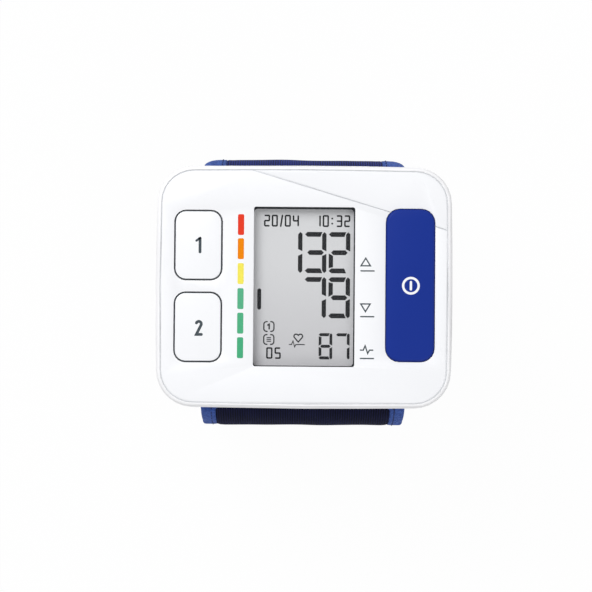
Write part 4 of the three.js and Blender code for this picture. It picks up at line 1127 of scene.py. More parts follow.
def end_section(x, end, facing, top_depth):
    """The folded tape at x, as (distance, depth). Toward the sides the pad thins, and so does the fold."""
    top = max(top_depth, rolled(x) - END_PROUD)
    bottom = PAD_THICKNESS - rolled(x) + END_PROUD
    middle, half = (top + bottom) / 2, max(LEAST_HALF, (bottom - top) / 2)
    tape = min(TAPE, 0.6 * half)
    start = end - facing * END_ROLL
    tip = start - facing * END_LEG
    outside, inside = [(tip, middle - half + 0.2 * tape)], [(tip, middle - half + tape)]
    for i in range(FOLD_STEPS + 1):
        angle = math.pi / 2 - math.pi * i / FOLD_STEPS
        forward, up = facing * math.cos(angle), math.sin(angle)
        outside.append((start + END_ROLL * forward, middle - half * up))
        inside.append((start + (END_ROLL - tape) * forward, middle - (half - tape) * up))
    outside.append((tip, middle + half - 0.2 * tape))
    inside.append((tip, middle + half - tape))
    return outside + inside[::-1]


def end_tape(name, end, facing, top_depth):
    """facing is 1 where the pad ends at the end of the route, and -1 where it ends at its start."""
    widths = [-math.cos(math.pi * i / END_COLUMNS) for i in range(END_COLUMNS + 1)]
    loops = []
    for width in widths:
        x = width * (BINDING_OUTER + END_OVER)
        section = end_section(x, end, facing, top_depth)
        loops.append([spot(station_at(cuff_route, distance), x, depth) for distance, depth in section])
    mesh = join_loops(name, loops, [width * BINDING_OUTER for width in widths], distances_of(section))
    tape = link(name, mesh, binding_navy, "housing")


end_tape("end_tape_free", 0.0, -1, 0.0)
end_tape("end_tape_hinge", CUFF_LENGTH, 1, UNDER_STRAP)

END_STITCHES = 18
SEAM_INSET = 1.0 * MM
row_xs = [STITCH_PITCH * (i - (END_STITCHES - 1) / 2) for i in range(END_STITCHES)]
free_seam = END_ROLL + END_LEG - SEAM_INSET
hinge_seam = CUFF_LENGTH - free_seam
thread_depths = [(x, max(0.0, rolled(x) - END_PROUD) + THREAD_SUNK) for x in row_xs]
end_threads = [(cuff_route, free_seam, x, depth, 1, True) for x, depth in thread_depths]
end_threads += [(cuff_route, seam, x, PAD_THICKNESS - depth, -1, True)
                for seam in (free_seam, hinge_seam) for x, depth in thread_depths]
stitches("end_stitches", end_threads, "housing")

# %% [markdown]
# Inside the pad lies the air bag: two sheets of film welded together round their edge. It is flat at the
# weld and swells between, with the small dents of a bag that holds little air. The lining hides it.

# %% Air bag
BAG_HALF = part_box("air_bladder")[1].x
BAG_DEPTH = 2.95 * MM
BAG_SWELL, BAG_RISE = 0.55 * MM, 3 * MM  # how high it swells, and how far from the weld that takes
BAG_INSET = 3.4 * MM
WELD = 0.2 * MM
WELD_WIDTH = 2.5 * MM
BAG_COLUMNS = 30
bag_route = [station for station in cuff_route if LOOP_RADIUS < station.at < CUFF_LENGTH - BAG_INSET]


def bag_section(station):
    from_end = min(station.at - bag_route[0].at, bag_route[-1].at - station.at)
    end_swell = smooth((from_end - WELD_WIDTH) / BAG_RISE)
    outer, inner = [], []
    for i in range(BAG_COLUMNS + 1):
        x = BAG_HALF * (2 * i / BAG_COLUMNS - 1)
        dent = 1 + 0.25 * wobble(x, station.at, 7 * MM, 21.0)
        swell = smooth((BAG_HALF - abs(x) - WELD_WIDTH) / BAG_RISE) * end_swell * dent
        outer.append((x, BAG_DEPTH - WELD - 0.6 * BAG_SWELL * swell))
        inner.append((x, BAG_DEPTH + WELD + BAG_SWELL * swell))
    return outer + inner[::-1]


air_bag = link("air_bag", skin("air_bag", bag_route, bag_section), bladder_film, "housing",
               ["air_bladder"])
print("air bag", round(2 * BAG_HALF / MM, 1), "mm wide")

# %% [markdown]
# The cuff's inner side is shorter than its outer side, and the lining is cut a little longer than that,
# which is why it creases. Here the points along the middle of its inner side and the cover's length along
# the cuff are worked out.

# %% Inner side and length of the cover
inner_ends = [spot(station, 0, PAD_THICKNESS) for station in lining_route]
cover_route[-1].at - cover_route[0].at

# %% [markdown]
# The closing strap is the cover without the padding: loop fabric outside, a patch of hook tape inside near
# its end, and a narrow tape folded round its edge. It is sewn under the end of the cover, bends at the hinge
# and lies over the start of the cuff.

# %% Path of the strap
lap_angle = math.degrees((COVER_END + LAP) / LOOP_RADIUS)
strap_route = route(
    around(-FAR_Y, LOWER_Z, LOOP_RADIUS, -90 - HINGE_ANGLE + lap_angle, -180),
    around(TAB_Y, UPPER_Z, STRAP_RADIUS, -180, -180 - STRAP_END_ANGLE),
)
STRAP_LENGTH = strap_route[-1].at
HINGE_AT = COVER_END + LAP
print("strap, from its seam to its end:", round(STRAP_LENGTH / MM, 1), "mm")

# %% [markdown]
# The strap is narrow where it leaves the cuff between the bindings, and widens past the hinge. It is thin
# there too, so that it bends. Under the tape at its edge it is pressed together. Where it lies over the
# start of the cuff, only its middle is held up, by the hook patch, so its edges hang down a little.

# %% Strap
STRAP_THICKNESS = 1.8 * MM
THIN_AT_HINGE = 0.9 * MM
STRAP_CORNER = 7 * MM
STRAP_HALF = strap_high.x - 0.35 * MM
STRAP_NARROW = BINDING_INNER - 0.6 * MM
STRAP_SLACK, SLACK_SIZE = 0.12 * MM, 12 * MM
EDGE_TAPE = 0.35 * MM
EDGE_TAPE_WIDTH = 4.4 * MM
EDGE_HANG = 1.0 * MM
DROOP_START = next(station.at for station in strap_route if spot(station, 0, 0).z > UPPER_Z - TAB_DROP)
hook_low, hook_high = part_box("hook_patch")


def past(distance, start, length):
    """0 up to start, 1 from start + length, and an easy change between them."""
    return smooth((distance - start) / length)


def round_corner(half, corner, to_end):
    """Half the width of a strip at a distance from its end, where its corners are rounded."""
    if to_end >= corner:
        return half
    return half - corner + math.sqrt(max(0.0, corner ** 2 - (corner - to_end) ** 2))


def strap_half(distance):
    to_end = STRAP_LENGTH - distance
    if to_end < STRAP_CORNER:
        return round_corner(STRAP_HALF, STRAP_CORNER, to_end)
    return STRAP_NARROW + (STRAP_HALF - STRAP_NARROW) * past(distance, HINGE_AT + 0.2 * MM, 1.6 * MM)


def droop(x, distance):
    """How far the strap's edge hangs down over the start of the cuff."""
    beside_patch = past(abs(x), hook_high.x, STRAP_HALF - hook_high.x)
    return EDGE_HANG * past(distance, DROOP_START, 4 * MM) * beside_patch


def strap_section(station):
    distance = station.at
    half = strap_half(distance)
    tucked = 0.5 * COVER_THICKNESS * (1 - past(distance, LAP, 1.2 * MM))
    body = STRAP_THICKNESS - THIN_AT_HINGE * (1 - past(distance, HINGE_AT, 3 * MM))
    top, bottom = [], []
    for i in range(COLUMNS + 1):
        x = half * (2 * i / COLUMNS - 1)
        to_edge = min(half - abs(x), STRAP_LENGTH - distance)
        under_tape = EDGE_TAPE * (1 - past(to_edge, EDGE_TAPE_WIDTH - 0.6 * MM, 1.0 * MM))
        under_tape *= past(distance, HINGE_AT, 2 * MM)
        slack = STRAP_SLACK * wobble(x, distance, SLACK_SIZE, 11.0) * past(distance, HINGE_AT, 6 * MM)
        slack += droop(x, distance)
        top.append((x, tucked + under_tape + slack))
        bottom.append((x, body - under_tape + slack))
    return top + bottom[::-1]


BEND_START = spot(station_at(strap_route, HINGE_AT - 1.5 * MM), 0, 0)
BEND_END = spot(station_at(strap_route, HINGE_AT + 3.0 * MM), 0, 0)


def bends_at_hinge(piece):
    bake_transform(piece)


strap_mesh = skin("strap", strap_route, strap_section)
strap = link("strap", strap_mesh, shaded_strap_fabric, None, ["cuff_tail"])
bends_at_hinge(strap)
print("strap", len(strap.data.polygons), "faces")

# %% [markdown]
# The strap's tape goes up one side, round both corners of the free end and down the other side. So its path
# lies flat on the strap, as x and distance, and each of its sections reaches inward from that path over both
# faces.

# %% Edge tape of the strap
EDGE_STEP = 1.1 * MM
CORNER_STEPS = 8
ROUND_STEPS = 6
TIP_WIDTH = 0.8 * MM  # the tape's edge comes up out of the cloth over this width


def edge_path(corner, half, start, end):
    """(x, distance, inward x, inward distance) from one side round the free end to the other side."""
    straight = end - corner - start
    steps = int(straight / EDGE_STEP)
    path = [(-half, start + straight * i / steps, 1.0, 0.0) for i in range(steps + 1)]
    for side, first in ((-1, 180), (1, 90)):
        for i in range(CORNER_STEPS + 1):
            angle = math.radians(first - 90 * i / CORNER_STEPS)
            out_x, out_s = math.cos(angle), math.sin(angle)
            x, distance = side * (half - corner) + corner * out_x, end - corner + corner * out_s
            path.append((x, distance, -out_x, -out_s))
    path += [(half, end - corner - straight * i / steps, -1.0, 0.0) for i in range(1, steps + 1)]
    return path


def folded_section(width, thickness, tape):
    """A U of tape over an edge, as (inward, depth)."""
    radius = thickness / 2
    tip = width - TIP_WIDTH
    outside, inside = [(width, 0.3 * tape), (tip, 0.0)], [(width, tape), (tip, tape)]
    for i in range(ROUND_STEPS + 1):
        angle = math.pi * i / ROUND_STEPS
        out, up = math.sin(angle), math.cos(angle)
        outside.append((radius - radius * out, radius - radius * up))
        inside.append((radius - (radius - tape) * out, radius - (radius - tape) * up))
    outside += [(tip, thickness), (width, thickness - 0.3 * tape)]
    inside += [(tip, thickness - tape), (width, thickness - tape)]
    return outside + inside[::-1]


def folded_tape(name, stations, path, section):
    loops = []
    for x, distance, in_x, in_s in path:
        loop = [(distance + inward * in_s, x + inward * in_x, depth) for inward, depth in section]
        loops.append([spot(station_at(stations, at), side, depth + droop(side, at))
                      for at, side, depth in loop])
    travel = distances_of([(x, distance) for x, distance, _, _ in path])
    return join_loops(name, loops, travel, distances_of(section))


strap_edge = edge_path(STRAP_CORNER, strap_high.x, HINGE_AT + 0.9 * MM, STRAP_LENGTH)
edge_section = folded_section(EDGE_TAPE_WIDTH, STRAP_THICKNESS, EDGE_TAPE)
strap_tape = link("strap_edge_tape", folded_tape("strap_edge_tape", strap_route, strap_edge, edge_section),
                  binding_navy, None)
bends_at_hinge(strap_tape)
print("edge tape in", len(strap_edge), "sections")

# %% [markdown]
# Stitches follow the strap's edge on both faces, and one row holds the strap to the end of the cover.

# %% Strap stitches
def along_edge(path, inset):
    """Stitch places at a distance inside a path. The last value says that the path runs across the strap."""
    places = []
    reach = 0.0
    for before, after in zip(path, path[1:]):
        length = math.dist(before[:2], after[:2])
        reach += length
        if reach >= STITCH_PITCH:
            reach -= STITCH_PITCH
            x, distance, in_x, in_s = after
            places.append((x + inset * in_x, distance + inset * in_s, abs(in_s) > abs(in_x)))
    return places


EDGE_SEAM = EDGE_TAPE_WIDTH - 1.3 * MM
edge_threads = []
for x, distance, turned in along_edge(strap_edge, EDGE_SEAM):
    hang = droop(x, distance)
    edge_threads.append((strap_route, distance, x, hang + THREAD_SUNK, 1, turned))
    edge_threads.append((strap_route, distance, x, hang + STRAP_THICKNESS - THREAD_SUNK, -1, turned))
strap_threads = stitches("strap_edge_stitches", edge_threads, None)
bends_at_hinge(strap_threads)

STRAP_SEAM_AT = CUFF_LENGTH - COVER_END - SEAM_INSET
seam_xs = [STITCH_PITCH * i for i in range(-8, 9)]
seam = [(cuff_route, STRAP_SEAM_AT, x, crown(x), 1, True) for x in seam_xs if abs(x) < CROWN_HALF]
stitches("strap_seam_stitches", seam, "housing")

# %% [markdown]
# The hook patch is a stiff base tape with rows of small bent hooks, which is what holds the closed strap on
# the loop fabric. The hooks are real little forms, four-sided and bent over, because the patch is seen close
# when the strap is open. They lean one way and the other by turns, as such tape has them.

# %% Hook patch
HOOK_BASE = 0.5 * MM
PATCH_SUNK = 0.05 * MM
HOOK_HEIGHT = 0.55 * MM
HOOK_PITCH = 1.25 * MM
HOOK_CORNER = 3 * MM
HOOK_MARGIN = 2 * MM  # a bare strip along both sides of the patch
HOOK_LEAN = 0.35 * MM
HOOK_FORM = (  # shares of the height and of the lean, and half of the width in millimetres
    (0, 0, 0.2),
    (0.6, 0.15, 0.14),
    (0.95, 0.7, 0.12),
    (0.8, 1.0, 0.06),
)
HOOK_HALF_DEPTH = 0.05 * MM
hook_start = next(station.at for station in strap_route if spot(station, 0, 0).z >= hook_low.z)
hook_end = STRAP_LENGTH - EDGE_TAPE_WIDTH - 0.6 * MM
hook_route = [station for station in strap_route if hook_start <= station.at <= hook_end]


def patch_section(station):
    half = round_corner(hook_high.x, HOOK_CORNER, min(station.at - hook_start, hook_end - station.at))
    xs = [half * (2 * i / COLUMNS - 1) for i in range(COLUMNS + 1)]
    top, bottom = STRAP_THICKNESS - PATCH_SUNK, STRAP_THICKNESS + HOOK_BASE
    return [(x, top) for x in xs] + [(x, bottom) for x in reversed(xs)]


def bent_hooks():
    points, faces = [], []
    rows = int((hook_end - hook_start - 2 * HOOK_CORNER) / HOOK_PITCH)
    columns = int(2 * (hook_high.x - HOOK_MARGIN) / HOOK_PITCH)
    for row in range(rows + 1):
        distance = hook_start + HOOK_CORNER + row * HOOK_PITCH
        for column in range(columns + 1):
            x = (column - columns / 2) * HOOK_PITCH
            lean = HOOK_LEAN * (1 if (row + column) % 2 else -1)
            base = len(points)
            for lift, shift, half in HOOK_FORM:
                depth = STRAP_THICKNESS + HOOK_BASE + HOOK_HEIGHT * lift
                station = station_at(hook_route, distance + shift * lean)
                for dx, dd in ((-1, -1), (1, -1), (1, 1), (-1, 1)):
                    points.append(spot(station, x + dx * half * MM, depth + dd * HOOK_HALF_DEPTH))
            for ring in range(len(HOOK_FORM) - 1):
                for i in range(4):
                    a, b = base + ring * 4 + i, base + ring * 4 + (i + 1) % 4
                    faces.append((a, b, b + 4, a + 4))
            faces.append(tuple(base + i for i in (3, 2, 1, 0)))
            faces.append(tuple(base + 4 * (len(HOOK_FORM) - 1) + i for i in range(4)))
    mesh = bpy.data.meshes.new("hooks")
    mesh.from_pydata(points, [], faces)
    print("hooks:", (rows + 1) * (columns + 1))
    return faced_out(mesh)


base_mesh = skin("hook_base", hook_route, patch_section)
hook_base = link("hook_base", base_mesh, hook_navy, "tail_body", ["hook_patch"])
hooks = link("hooks", bent_hooks(), hook_navy, "tail_body")

# %% [markdown]
# The strap lies flat, so its cut size is what it measures. Its edge tape is folded over the edge, so its cut
# width is both legs and the fold. Here the tape's length along the strap's edge is measured.

# %% Length of the strap's edge tape
edge_length = sum(math.dist(before[:2], after[:2]) for before, after in zip(strap_edge, strap_edge[1:]))
hook_end - hook_start
print("edge tape, measured along the strap's edge:", round(edge_length / MM, 1), "mm")

# %% [markdown]
# Print is a thin film of ink, so each mark is a flat shape two hundredths of a millimetre thick that lies on
# the surface it is printed on. Ink on a key rides with the key. Most marks are strokes: a line of points
# given a width, with round ends, as a pen would draw it. A shape is one outline, or a pair of outlines for a
# ring.

# %% Outlines
CORNER_PARTS = 6
SHARPEST = 0.4  # a corner sharper than this would grow into a long spike


def millimetres(points, x=0.0, y=0.0):
    """Points given in millimetres round a place, in metres."""
    return [(x + across * MM, y + up * MM) for across, up in points]


def arc(x, y, radius, start, end, count=10):
    """Points on a part of a circle, between two angles in degrees."""
    angles = [math.radians(start + (end - start) * i / count) for i in range(count + 1)]
    return [(x + radius * math.cos(angle), y + radius * math.sin(angle)) for angle in angles]


def rounded_box(low_x, low_y, high_x, high_y, corner):
    turns = ((high_x - corner, high_y - corner, 0), (low_x + corner, high_y - corner, 90),
             (low_x + corner, low_y + corner, 180), (high_x - corner, low_y + corner, 270))
    return [point for x, y, start in turns for point in arc(x, y, corner, start, start + 90, CORNER_PARTS)]


def offsets(points, distance, closed):
    """The points moved sideways, to the left of the way they run, with mitred corners."""
    moved = []
    for i, (x, y) in enumerate(points):
        before = points[i - 1] if i or closed else points[i]
        after = points[(i + 1) % len(points)] if i + 1 < len(points) or closed else points[i]
        ways = [Vector((b[0] - a[0], b[1] - a[1])) for a, b in ((before, (x, y)), ((x, y), after)) if a != b]
        ways = [way.normalized() for way in ways]
        middle = sum(ways, Vector((0, 0))).normalized()
        reach = distance / max(SHARPEST, middle.dot(ways[0]))
        moved.append((x - middle.y * reach, y + middle.x * reach))
    return moved


def stroke(points, width, closed=False):
    """The outline of a line of this width: a pair of loops where it is closed, else one with round ends."""
    left, right = offsets(points, width / 2, closed), offsets(points, -width / 2, closed)
    if closed:
        return left, right
    caps = []
    for tip, near in ((points[-1], points[-2]), (points[0], points[1])):
        heading = math.degrees(math.atan2(tip[1] - near[1], tip[0] - near[0]))
        caps.append(arc(*tip, width / 2, heading + 90, heading - 90, CORNER_PARTS)[1:-1])
    return left + caps[0] + right[::-1] + caps[1]


print("a rounded box has", len(rounded_box(0, 0, 1, 1, 0.1)), "points")

# %% [markdown]
# The outlines become thin slabs, all those of one mark in one mesh. The ink's film lies almost all of it
# above the surface, and its tone is a little uneven, as screen print is.

# %% Slabs and ink
INK = 0.02 * MM
INK_SUNK = 0.3 * INK


def slabs(name, shapes, low, high):
    """Flat shapes from one height to another, all in one mesh."""
    points, faces = [], []
    for shape in shapes:
        loops = shape if isinstance(shape, tuple) else (shape,)
        count = len(loops[0])
        rings = []
        for loop in loops:
            for z in (low, high):
                rings.append(range(len(points), len(points) + count))
                points += [(x, y, z) for x, y in loop]
        joined = [(rings[0], rings[1])]
        if len(loops) == 2:
            joined += [(rings[2], rings[3]), (rings[0], rings[2]), (rings[1], rings[3])]
        else:
            faces += [tuple(rings[0]), tuple(rings[1])]
        for a, b in joined:
            faces += [(a[i - 1], a[i], b[i], b[i - 1]) for i in range(count)]
    mesh = bpy.data.meshes.new(name)
    mesh.from_pydata(points, [], faces)
    faced_out(mesh).shade_flat()
    return mesh


def ink_finish(name, colour, roughness=0.42):
    """Screen printed ink: flat in tone but for a slight unevenness, and a little less glossy than a face."""
    finish = Finish(name, colour, roughness, specular_ior_level=0.1)
    patches = finish.noise(0.5 * MM).ramp(0.35, 0.65)
    finish.set("Base Color", finish.mix(patches, scaled(colour, 0.93), colour))
    return finish


def ink(name, shapes, surface, finish, body):
    link(name, slabs(name, shapes, surface - INK_SUNK, surface + INK), finish, body)


print("ink stands out by", round(INK / MM, 3), "mm")

# %% [markdown]
# Two fine lines cross the white face. One is the seam between the face panel and its case, which a pale grey
# bead fills almost to the top; its grey is painted shade of the seam. The other is the groove that runs
# slanting across the panel, whose floor is painted pale grey as painted shade of the groove. Both take their
# path from the panel's own points, so they lie where the panel is.

# %% Seam and groove
SEAM_GAP, SEAM_UNDER = 0.3 * MM, 0.02 * MM  # how far the bead reaches out from the panel and in under it
SEAM_DEPTH = 0.22 * MM
GROOVE_FLOOR, GROOVE_WIDTH = 0.3 * MM, 0.3 * MM
GROOVE_END = 0.4 * MM  # the points within this of the first one are one end of the groove
panel_points = [vertex.co for vertex in NODES["face_panel"].data.vertices]


def outer_loop(points):
    """The points that a string tied round all of them would touch, anticlockwise."""
    def half(run):
        kept = []
        for point in run:
            while len(kept) > 1:
                (ax, ay), (bx, by) = kept[-2:]
                if (bx - ax) * (point[1] - ay) - (by - ay) * (point[0] - ax) > 1e-12:
                    break
                kept.pop()
            kept.append(point)
        return kept[:-1]
    run = sorted(set(points))
    return half(run) + half(run[::-1])


def band(edge, out, inward):
    """The strip between a line outside an edge and a line inside it."""
    return offsets(edge, -out, True), offsets(edge, inward, True)


def middle_of(points):
    return tuple(sum(values) / len(points) for values in zip(*points))


# The pale grey is painted shade, for the seam and for the groove.
seam_shade_grey = ink_finish("seam_shade_grey", tint(212, 214, 217), 0.5)
panel_edge = outer_loop([(round(point.x, 6), round(point.y, 6)) for point in panel_points])
panel_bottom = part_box("face_panel")[0].z
seam = band(panel_edge, SEAM_GAP, SEAM_UNDER)
link("panel_seam", slabs("panel_seam", [seam], panel_bottom, FACE_Z - SEAM_DEPTH), seam_shade_grey, "housing")

START_LOW, START_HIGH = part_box("start_key")
START_X, START_Y = (START_LOW.x + START_HIGH.x) / 2, (START_LOW.y + START_HIGH.y) / 2
groove_floor = FACE_Z - GROOVE_FLOOR
on_floor = [point for point in panel_points if abs(point.z - groove_floor) < 0.01 * MM]
groove_points = sorted((point.x, point.y) for point in on_floor)
groove_shade_lines = []
for side in (-1, 1):  # the groove stops at the start key and goes on behind it
    part = [point for point in groove_points if side * (point[0] - START_X) > 0]
    ends = []
    for end in (part[0], part[-1]):
        ends.append(middle_of([point for point in part if abs(point[0] - end[0]) < GROOVE_END]))
    groove_shade_lines.append(stroke(ends, GROOVE_WIDTH))
ink("groove_shade_line", groove_shade_lines, groove_floor, seam_shade_grey, "housing")
print("panel edge of", len(panel_edge), "points, groove of", len(groove_points))

# %% [markdown]
# Beside the window stands a scale of six coloured bars, from red for a high value to green for a normal one.
# On the other side, one plain mark for each value tells which is which: the upper, the lower and the pulse.

# %% Scale bars and value marks
BAR_WIDTH = 1.7 * MM
BAR_LENGTH = 5.75 * MM
BAR_CORNER = 0.4 * MM
BAR_X = -17.5 * MM
BARS = (  # each bar's middle is given in millimetres
    ("red", 17.0, tint(232, 62, 38)),
    ("orange", 10.35, tint(242, 136, 0)),
    ("yellow", 3.5, tint(248, 235, 96)),
    ("green_upper", -3.4, tint(91, 180, 138)),
    ("green_middle", -10.15, tint(82, 178, 132)),
    ("green_lower", -16.9, tint(74, 175, 128)),
)
for word, centre, colour in BARS:
    outline = rounded_box(BAR_X - BAR_WIDTH / 2, centre * MM - BAR_LENGTH / 2,
                          BAR_X + BAR_WIDTH / 2, centre * MM + BAR_LENGTH / 2, BAR_CORNER)
    ink(f"scale_bar_{word}", [outline], FACE_Z, ink_finish(f"ink_{word}", colour), "housing")

# The grey of the print, which also paints the shade round keys 1 and 2.
print_and_shade_grey_ink = ink_finish("print_and_shade_grey_ink", PRINT_AND_SHADE_GREY)
MARK_LEFT = 15.6 * MM
MARK_LINE = 0.36 * MM
UNDERLINE = [(0, -3.5), (3.6, -3.5)]
VALUE_MARKS = (  # each mark's top and points are given in millimetres
    ("upper", 8.0, [(0, -2.1), (1.3, 0), (2.6, -2.1)], True),
    ("lower", -4.6, [(0, 0), (1.3, -2.1), (2.6, 0)], True),
    ("pulse", -16.1, [(0, -1.2), (0.8, -1.2), (1.3, 0), (2.0, -2.1), (2.5, -1.2), (3.4, -1.2)], False),
)
for word, top, points, closed in VALUE_MARKS:
    shapes = [stroke(millimetres(points, MARK_LEFT, top * MM), MARK_LINE, closed),
              stroke(millimetres(UNDERLINE, MARK_LEFT, top * MM), MARK_LINE)]
    ink(f"mark_{word}", shapes, FACE_Z, print_and_shade_grey_ink, "housing")
print(len(BARS), "bars and", len(VALUE_MARKS), "marks")

# %% [markdown]
# Keys 1 and 2 carry their number. A dark line runs round each of them: its outer part is the gap in which
# the key moves, and its inner part is painted shade of that gap, a band of dark ink on the rounded shoulder
# of the cap, so the line follows that round. The digits are drawn from strokes too, as plain as engraved
# ones.

# %% Key print and painted shade
KEY_1_LOW, KEY_1_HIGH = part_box("key_1")
KEY_TOP = KEY_1_HIGH.z
KEY_X = (KEY_1_LOW.x + KEY_1_HIGH.x) / 2
KEY_Y = (KEY_1_LOW.y + KEY_1_HIGH.y) / 2  # key 2 lies as far on the other side of the middle
KEY_HALF_WIDTH = 6.4 * MM
KEY_HALF_LENGTH = 9.45 * MM
KEY_CORNER = 3.0 * MM
SHOULDER = 0.4 * MM
SHOULDER_STEPS = 4
INK_LOW, INK_HIGH = 8, 54  # where the line starts and ends on the shoulder's round, in degrees from level
DIGIT_LINE, FLAG_LINE = 0.78 * MM, 0.6 * MM
bow_and_foot = arc(0.3, 0.82, 0.7, 158, -36, 12) + [(-0.34, -2.06), (1.05, -2.06)]
KEY_DIGITS = {
    1: [stroke(millimetres([(-0.55, 1.2), (0.42, 1.93)]), FLAG_LINE),
        stroke(millimetres([(0.46, 1.9), (0.46, -1.9)]), DIGIT_LINE)],
    2: [stroke(millimetres(bow_and_foot), DIGIT_LINE)],
}


def shoulder_shade_line(name, y):
    """A band of dark ink on the round of a key's edge, from the edge inward: painted shade of the gap round
    the key.
    """
    loops = []
    part = (INK_HIGH - INK_LOW) / SHOULDER_STEPS
    turns = [math.radians(INK_LOW + part * i) for i in range(SHOULDER_STEPS + 1)]
    for lift, angles in ((INK, turns), (-INK, turns[::-1])):
        for angle in angles:
            inset = SHOULDER - (SHOULDER + lift) * math.cos(angle)
            z = KEY_TOP - SHOULDER + (SHOULDER + lift) * math.sin(angle)
            half_x, half_y = KEY_HALF_WIDTH - inset, KEY_HALF_LENGTH - inset
            outline = rounded_box(KEY_X - half_x, y - half_y, KEY_X + half_x, y + half_y, KEY_CORNER - inset)
            loops.append([Vector((px, py, z)) for px, py in outline])
    loops.append(loops[0])
    mesh = join_loops(name, loops, [0.0] * len(loops), [0.0] * len(loops[0]), caps=False)
    work = bmesh.new()
    work.from_mesh(mesh)
    bmesh.ops.remove_doubles(work, verts=work.verts, dist=0.001 * MM)
    work.to_mesh(mesh)
    work.free()
    return faced_out(mesh)


for number, side in ((1, 1), (2, -1)):
    body = f"key_{number}_body"
    shapes = [[(x + KEY_X, y + side * KEY_Y) for x, y in shape] for shape in KEY_DIGITS[number]]
    ink(f"key_digit_{number}", shapes, KEY_TOP, print_and_shade_grey_ink, body)
    shade_line_mesh = shoulder_shade_line(f"key_shade_line_{number}", side * KEY_Y)
    link(f"key_shade_line_{number}", shade_line_mesh, print_and_shade_grey_ink, body)
print("keys at", round(KEY_X / MM, 2), "and", round(KEY_Y / MM, 2), "mm on both sides of the middle")

# %% [markdown]
# The start key has the usual on and off mark in white: a ring with an upright bar in it.

# %% Start mark
RING_RADIUS = 2.13 * MM
RING_POINTS = 40
BAR_HALF = 1.0 * MM
START_LINE = 0.64 * MM
MARK_X = START_X + 0.15 * MM
MARK_Y = START_Y - 0.1 * MM
ring = arc(MARK_X, MARK_Y, RING_RADIUS, 0, 360 - 360 / RING_POINTS, RING_POINTS - 1)
bar = [(MARK_X, MARK_Y + BAR_HALF), (MARK_X, MARK_Y - BAR_HALF)]
ink_white = ink_finish("ink_white", tint(252, 253, 255))
ink("start_mark", [stroke(ring, START_LINE, True), stroke(bar, START_LINE)], START_HIGH.z, ink_white,
    "start_key_body")
print("ring", round(2 * RING_RADIUS / MM, 2), "mm across the middle of its line")

# %% [markdown]
# Below the face, the start key widens into a thin skirt. It nearly fills the gap round the key, so no light
# falls past it, and the gap looks blue and not black.

# %% Skirt of the start key
SKIRT, SKIRT_ROOT = 0.14 * MM, 0.05 * MM  # how far it stands out of the key, and how far in it starts
SKIRT_LOW, SKIRT_HIGH = FACE_Z - 1.3 * MM, FACE_Z - 0.15 * MM
cap_points = [vertex.co for vertex in NODES["start_key"].data.vertices if vertex.co.z > FACE_Z - 0.2 * MM]
start_edge = outer_loop([(round(point.x, 6), round(point.y, 6)) for point in cap_points])
skirt = band(start_edge, SKIRT, SKIRT_ROOT)
skirt_mesh = slabs("start_skirt", [skirt], SKIRT_LOW, SKIRT_HIGH)
link("start_skirt", skirt_mesh, start_blue, "start_key_body")
print("skirt along", len(start_edge), "points")

# %% [markdown]
# The battery door has what a thumb needs: three ribs to push against and a small arrow that shows the way.
# They stand a quarter of a millimetre out of the door. They are drawn flat, as print is, and then turned
# upright onto the side wall, where the drawing's right points along -Y and its up along +Z.

# %% Grip of the battery door
DOOR_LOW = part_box("battery_door")[0]
GRIP_OUT = 0.25 * MM
GRIP_ROOT = 0.2 * MM
GRIP_EDGE = 0.1 * MM
RIBS = 3
RIB_LENGTH, RIB_WIDTH, RIB_STEP = 11 * MM, 0.8 * MM, 1.6 * MM
RIB_CORNER = 0.48 * RIB_WIDTH
RIB_FIRST = 2.7 * MM  # the lowest rib, above the door's lower edge
ARROW_HALF, ARROW_DEPTH, ARROW_GAP = 1.5 * MM, 1.9 * MM, 1.6 * MM
TO_SIDE_WALL = Matrix(((0, 0, -1), (-1, 0, 0), (0, 1, 0))).to_4x4()

grip = []
for row in range(RIBS):
    height = DOOR_LOW.z + RIB_FIRST + row * RIB_STEP
    grip.append(rounded_box(-RIB_LENGTH / 2, height - RIB_WIDTH / 2, RIB_LENGTH / 2, height + RIB_WIDTH / 2,
                            RIB_CORNER))
arrow_tip = height + RIB_WIDTH / 2 + ARROW_GAP
grip.append([(ARROW_HALF, arrow_tip + ARROW_DEPTH), (-ARROW_HALF, arrow_tip + ARROW_DEPTH), (0, arrow_tip)])
grip_mesh = slabs("door_grip", grip, -DOOR_LOW.x - GRIP_ROOT, -DOOR_LOW.x + GRIP_OUT)
grip_mesh.transform(TO_SIDE_WALL)
bevelled(link("door_grip", grip_mesh, shell_white, "door_body"), GRIP_EDGE)
print("door grip:", len(grip), "raised shapes")

# %% [markdown]
# The cells behind the door are turned forms, so one outline goes round an axis: a steel can with rolled
# edges, a plastic jacket shrunk over it and turned in at both ends, and the small round contact at the
# positive end. They lie head to tail, and the jacket has a pale ring near both ends.

# %% Cells
CELL_SIDES = 48
JACKET_OVER = 0.08 * MM
NUB_RADIUS, NUB_HEIGHT = 1.9 * MM, 0.9 * MM
cell_low, cell_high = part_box("cell_1")
CELL_RADIUS = (cell_high.z - cell_low.z) / 2
CELL_END = cell_high.y
CELL_RIM = ((3.9, 0.12), (4.1, 0.0), (4.4, 0.0), (4.55, 0.1))  # radius and depth of the rolled rim, in mm


